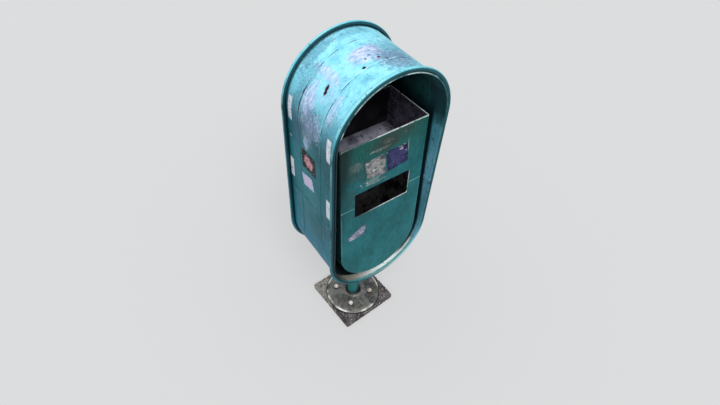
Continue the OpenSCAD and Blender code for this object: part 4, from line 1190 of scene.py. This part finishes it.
def tray_floor_finish():
    f = Finish("tray_dust", roughness=0.75, specular=0.25)
    colour = f.tint(shade(128, 130, 148), shade(202, 204, 224), f.blotches(0.36, 0.62, 0.05, 7.0, seed=2.0))
    colour = f.tint(colour, shade(58, 56, 64), f.blotches(0.55, 0.7, 0.016, 7.0, seed=5.0))
    colour = f.tint(colour, shade(212, 210, 228), f.blotches(0.58, 0.7, 0.008, 5.0, seed=8.0))
    # Painted shade along the floor's sides.
    corner = f.rise(f.calc("ABSOLUTE", f.axis("X")), panel_r - 0.05, panel_r - 0.004)
    colour = f.tint(colour, shade(34, 32, 38), corner, 0.8)
    # Painted shade towards the back of the floor.
    rear = f.rise(f.axis("Y"), 0.02, 0.09)
    colour = f.tint(colour, shade(44, 42, 50), rear, 0.7)
    f.uneven(f.cloud(0.005, 6.0), 0.5, 0.0008)
    return f.done(colour)


tub = make_piece("container_sheet", container_patches(), [container_paint, rubbed_steel, tray_metal])
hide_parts("cradle_wrap")
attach(tub, "container")

tray = make_piece("tray_sheet", tray_floor_patches(), [tray_floor_finish(), tray_metal])
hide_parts("tray_floor")
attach(tray, "container")


def shield_finish():
    """A near-black grey, as painted shade, with a painted highlight along the plate's top edge."""
    f = Finish("shield_metal", roughness=0.6, specular=0.2)
    colour = f.tint(shade(14, 13, 16), shade(34, 32, 40), f.blotches(0.38, 0.65, 0.06, 7.0, seed=2.0))
    colour = f.tint(colour, shade(10, 9, 10), f.blotches(0.55, 0.7, 0.014, 7.0, seed=5.0))
    # Painted highlight along the plate's top edge.
    top_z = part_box("cradle_back")[1].z
    colour = f.tint(colour, shade(170, 176, 176), f.rise(f.axis("Z"), top_z - 0.0024, top_z - 0.0012))
    f.uneven(f.cloud(0.006, 6.0), 0.4, 0.0008)
    return f.done(colour, f.wander(0.4, 0.4, 0.03, 5.0))


dress(shield_finish(), "cradle_back")
dress(container_paint, "back_sill", "hinge_lugs", "keeper")

# ---- Hinge bushes ----
# Flanged nylon bushes pressed into the container's two lugs, where they turn on the hinge
# rod. They have gone yellow with age.


def nylon_finish():
    f = Finish("bush_nylon", roughness=0.5)
    colour = f.tint(shade(226, 218, 192), shade(196, 184, 150), f.blotches(0.45, 0.65, 0.006, 4.0))
    f.uneven(f.cloud(0.001, 3.0), 0.2, 0.0002)
    return f.done(colour)


dress(nylon_finish(), "hinge_bushes")

# ---- Worn stickers on the front panel ----
# Three old paper stickers: a torn grey one and an indigo one side by side above the slot, and
# a smaller scrap lower down. All are worn past reading.


def glued_to_panel(corners, lift, ragged, seed, roundness=16):
    """A thin film on the panel: rings about its middle out to a square, bent to the four given
    corners by blending between them, with a torn edge that wanders by ragged."""
    turns = np.linspace(0, 2*math.pi, 200, endpoint=False)[:, None]
    out = np.linspace(0, 1, 18)[None, :]
    reach = 1/((np.abs(np.cos(turns)))**roundness + (np.abs(np.sin(turns)))**roundness)**(1/roundness)
    torn = 1 + ragged*ripple(np.cos(turns), np.sin(turns), 0.6, seed) + 0.6*ragged*ripple(
        turns, turns, 0.12, seed + 1
    )
    a, b = out*reach*torn*np.cos(turns), out*reach*torn*np.sin(turns)
    left, right, low, high = (1 - a)/2, (1 + a)/2, (1 - b)/2, (1 + b)/2
    shares = [left*low, right*low, right*high, left*high]
    x = sum(share*corner[0] for share, corner in zip(shares, corners))
    up = sum(share*corner[1] for share, corner in zip(shares, corners))
    sheet = np.stack([a, b, out + 0*a], -1)
    face = in_container(x, -lift + panel_relief(x, up), up)
    return plate(face, in_container(x, -0.00004 + panel_relief(x, up), up), sheet, wrap_u=True, pole=True)


grey_paper = paper_finish("grey_sticker", shade(70, 76, 84), shade(144, 144, 142), 1.1, 0.6, 0.95, 0.02, 4.0)
indigo_paper = paper_finish("indigo_sticker", shade(22, 20, 64), shade(52, 52, 96), 0.9, 0.6, 0.3, 0.02, 6.0)
scrap_paper = paper_finish(
    "scrap_sticker", shade(74, 92, 108), shade(130, 132, 152), 0.9, 0.6, 0.6, 0.014, 8.0
)
panel_stickers = [
    (
        "grey_sticker", [(-0.075, 0.574), (0.01, 0.566), (-0.003, 0.664), (-0.085, 0.66)], 0.04, 101,
        grey_paper,
    ),
    (
        "indigo_sticker", [(0.017, 0.567), (0.109, 0.58), (0.101, 0.668), (0.004, 0.665)], 0.008, 103,
        indigo_paper,
    ),
    (
        "scrap_sticker", [(-0.15, 0.272), (-0.078, 0.28), (-0.068, 0.338), (-0.156, 0.304)], 0.07, 105,
        scrap_paper,
    ),
]
for sticker_name, corners, ragged, seed, paper in panel_stickers:
    sticker = make_piece(sticker_name, glued_to_panel(corners, 0.0004, ragged, seed), [paper])
    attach(sticker, "container")

# ---- Liner ----
# A lift-out tub of galvanised sheet with a bent rod handle on its back. It shows only when
# the container is tipped or through the slot, spangled and stained.


def galvanised_finish():
    f = Finish("liner_zinc", roughness=0.45, metallic=0.7)
    spangle = f.node("ShaderNodeTexVoronoi", {"Vector": f.place, "Scale": 70.0}).outputs["Color"]
    tone = f.node("ShaderNodeRGBToBW", {0: spangle}).outputs[0]
    colour = f.tint(shade(84, 82, 84), shade(130, 130, 132), tone)
    colour = f.tint(colour, shade(40, 30, 28), f.blotches(0.44, 0.62, 0.05, 7.0, seed=3.0))
    f.uneven(f.cloud(0.02, 4.0), 0.15, 0.0006)
    return f.done(colour, f.calc("ADD", f.calc("MULTIPLY", tone, 0.2), 0.3))


dress(galvanised_finish(), "liner", "liner_handle")

# ---- Floor, lights and camera ----
# A plain pale floor under a broad soft light overhead and a narrower one from the left front,
# seen from above the left front.

floor_mesh = bpy.data.meshes.new("floor")
floor_half = 30.0
floor_corners = [
    (across*floor_half, along*floor_half, 0) for across, along in ((-1, -1), (1, -1), (1, 1), (-1, 1))
]
floor_mesh.from_pydata(floor_corners, [], [(0, 1, 2, 3)])
floor = bpy.data.objects.new("floor", floor_mesh)
bpy.context.scene.collection.objects.link(floor)
floor_paint = Finish("floor", roughness=1.0, specular=0.0)
floor_paint.shader.inputs["Emission Color"].default_value = (1, 1, 1, 1)
floor_paint.shader.inputs["Emission Strength"].default_value = 0.32
floor_mesh.materials.append(floor_paint.done((0.3, 0.3, 0.3, 1)))

overhead = bpy.data.lights.new("overhead", "SUN")
overhead.energy = 1.9
overhead.angle = math.radians(100)
overhead_object = bpy.data.objects.new("overhead", overhead)
overhead_object.rotation_euler = (math.radians(10), math.radians(-14), 0)
bpy.context.scene.collection.objects.link(overhead_object)

fill = bpy.data.lights.new("fill", "SUN")
fill.energy = 1.9
fill.angle = math.radians(34)
fill_object = bpy.data.objects.new("fill", fill)
fill_object.rotation_euler = (math.radians(36), 0, math.radians(-26))
bpy.context.scene.collection.objects.link(fill_object)

sky = bpy.data.worlds.new("sky")
sky.use_nodes = True
sky.node_tree.nodes["Background"].inputs["Color"].default_value = (0.85, 0.93, 1.0, 1)
sky.node_tree.nodes["Background"].inputs["Strength"].default_value = 0.3
bpy.context.scene.world = sky
bpy.context.scene.view_settings.view_transform = "Standard"

azimuth, elevation, roll = math.radians(-38.18), math.radians(48.82), math.radians(4.26)
target, distance = Vector((-0.0014, -0.0077, 0.7328)), 2.05
away = Vector((
    math.sin(azimuth)*math.cos(elevation), -math.cos(azimuth)*math.cos(elevation), math.sin(elevation)
))
level_right = Vector((math.cos(azimuth), math.sin(azimuth), 0))
level_up = away.cross(level_right)
right = math.cos(roll)*level_right + math.sin(roll)*level_up
up_way = math.cos(roll)*level_up - math.sin(roll)*level_right
camera_data = bpy.data.cameras.new("camera")
camera_data.sensor_width = 36.0
camera_data.lens = 24.45
camera = bpy.data.objects.new("camera", camera_data)
place = Matrix((right, up_way, away)).transposed().to_4x4()
place.translation = target + distance*away
camera.matrix_world = place
bpy.context.scene.collection.objects.link(camera)
bpy.context.scene.camera = camera
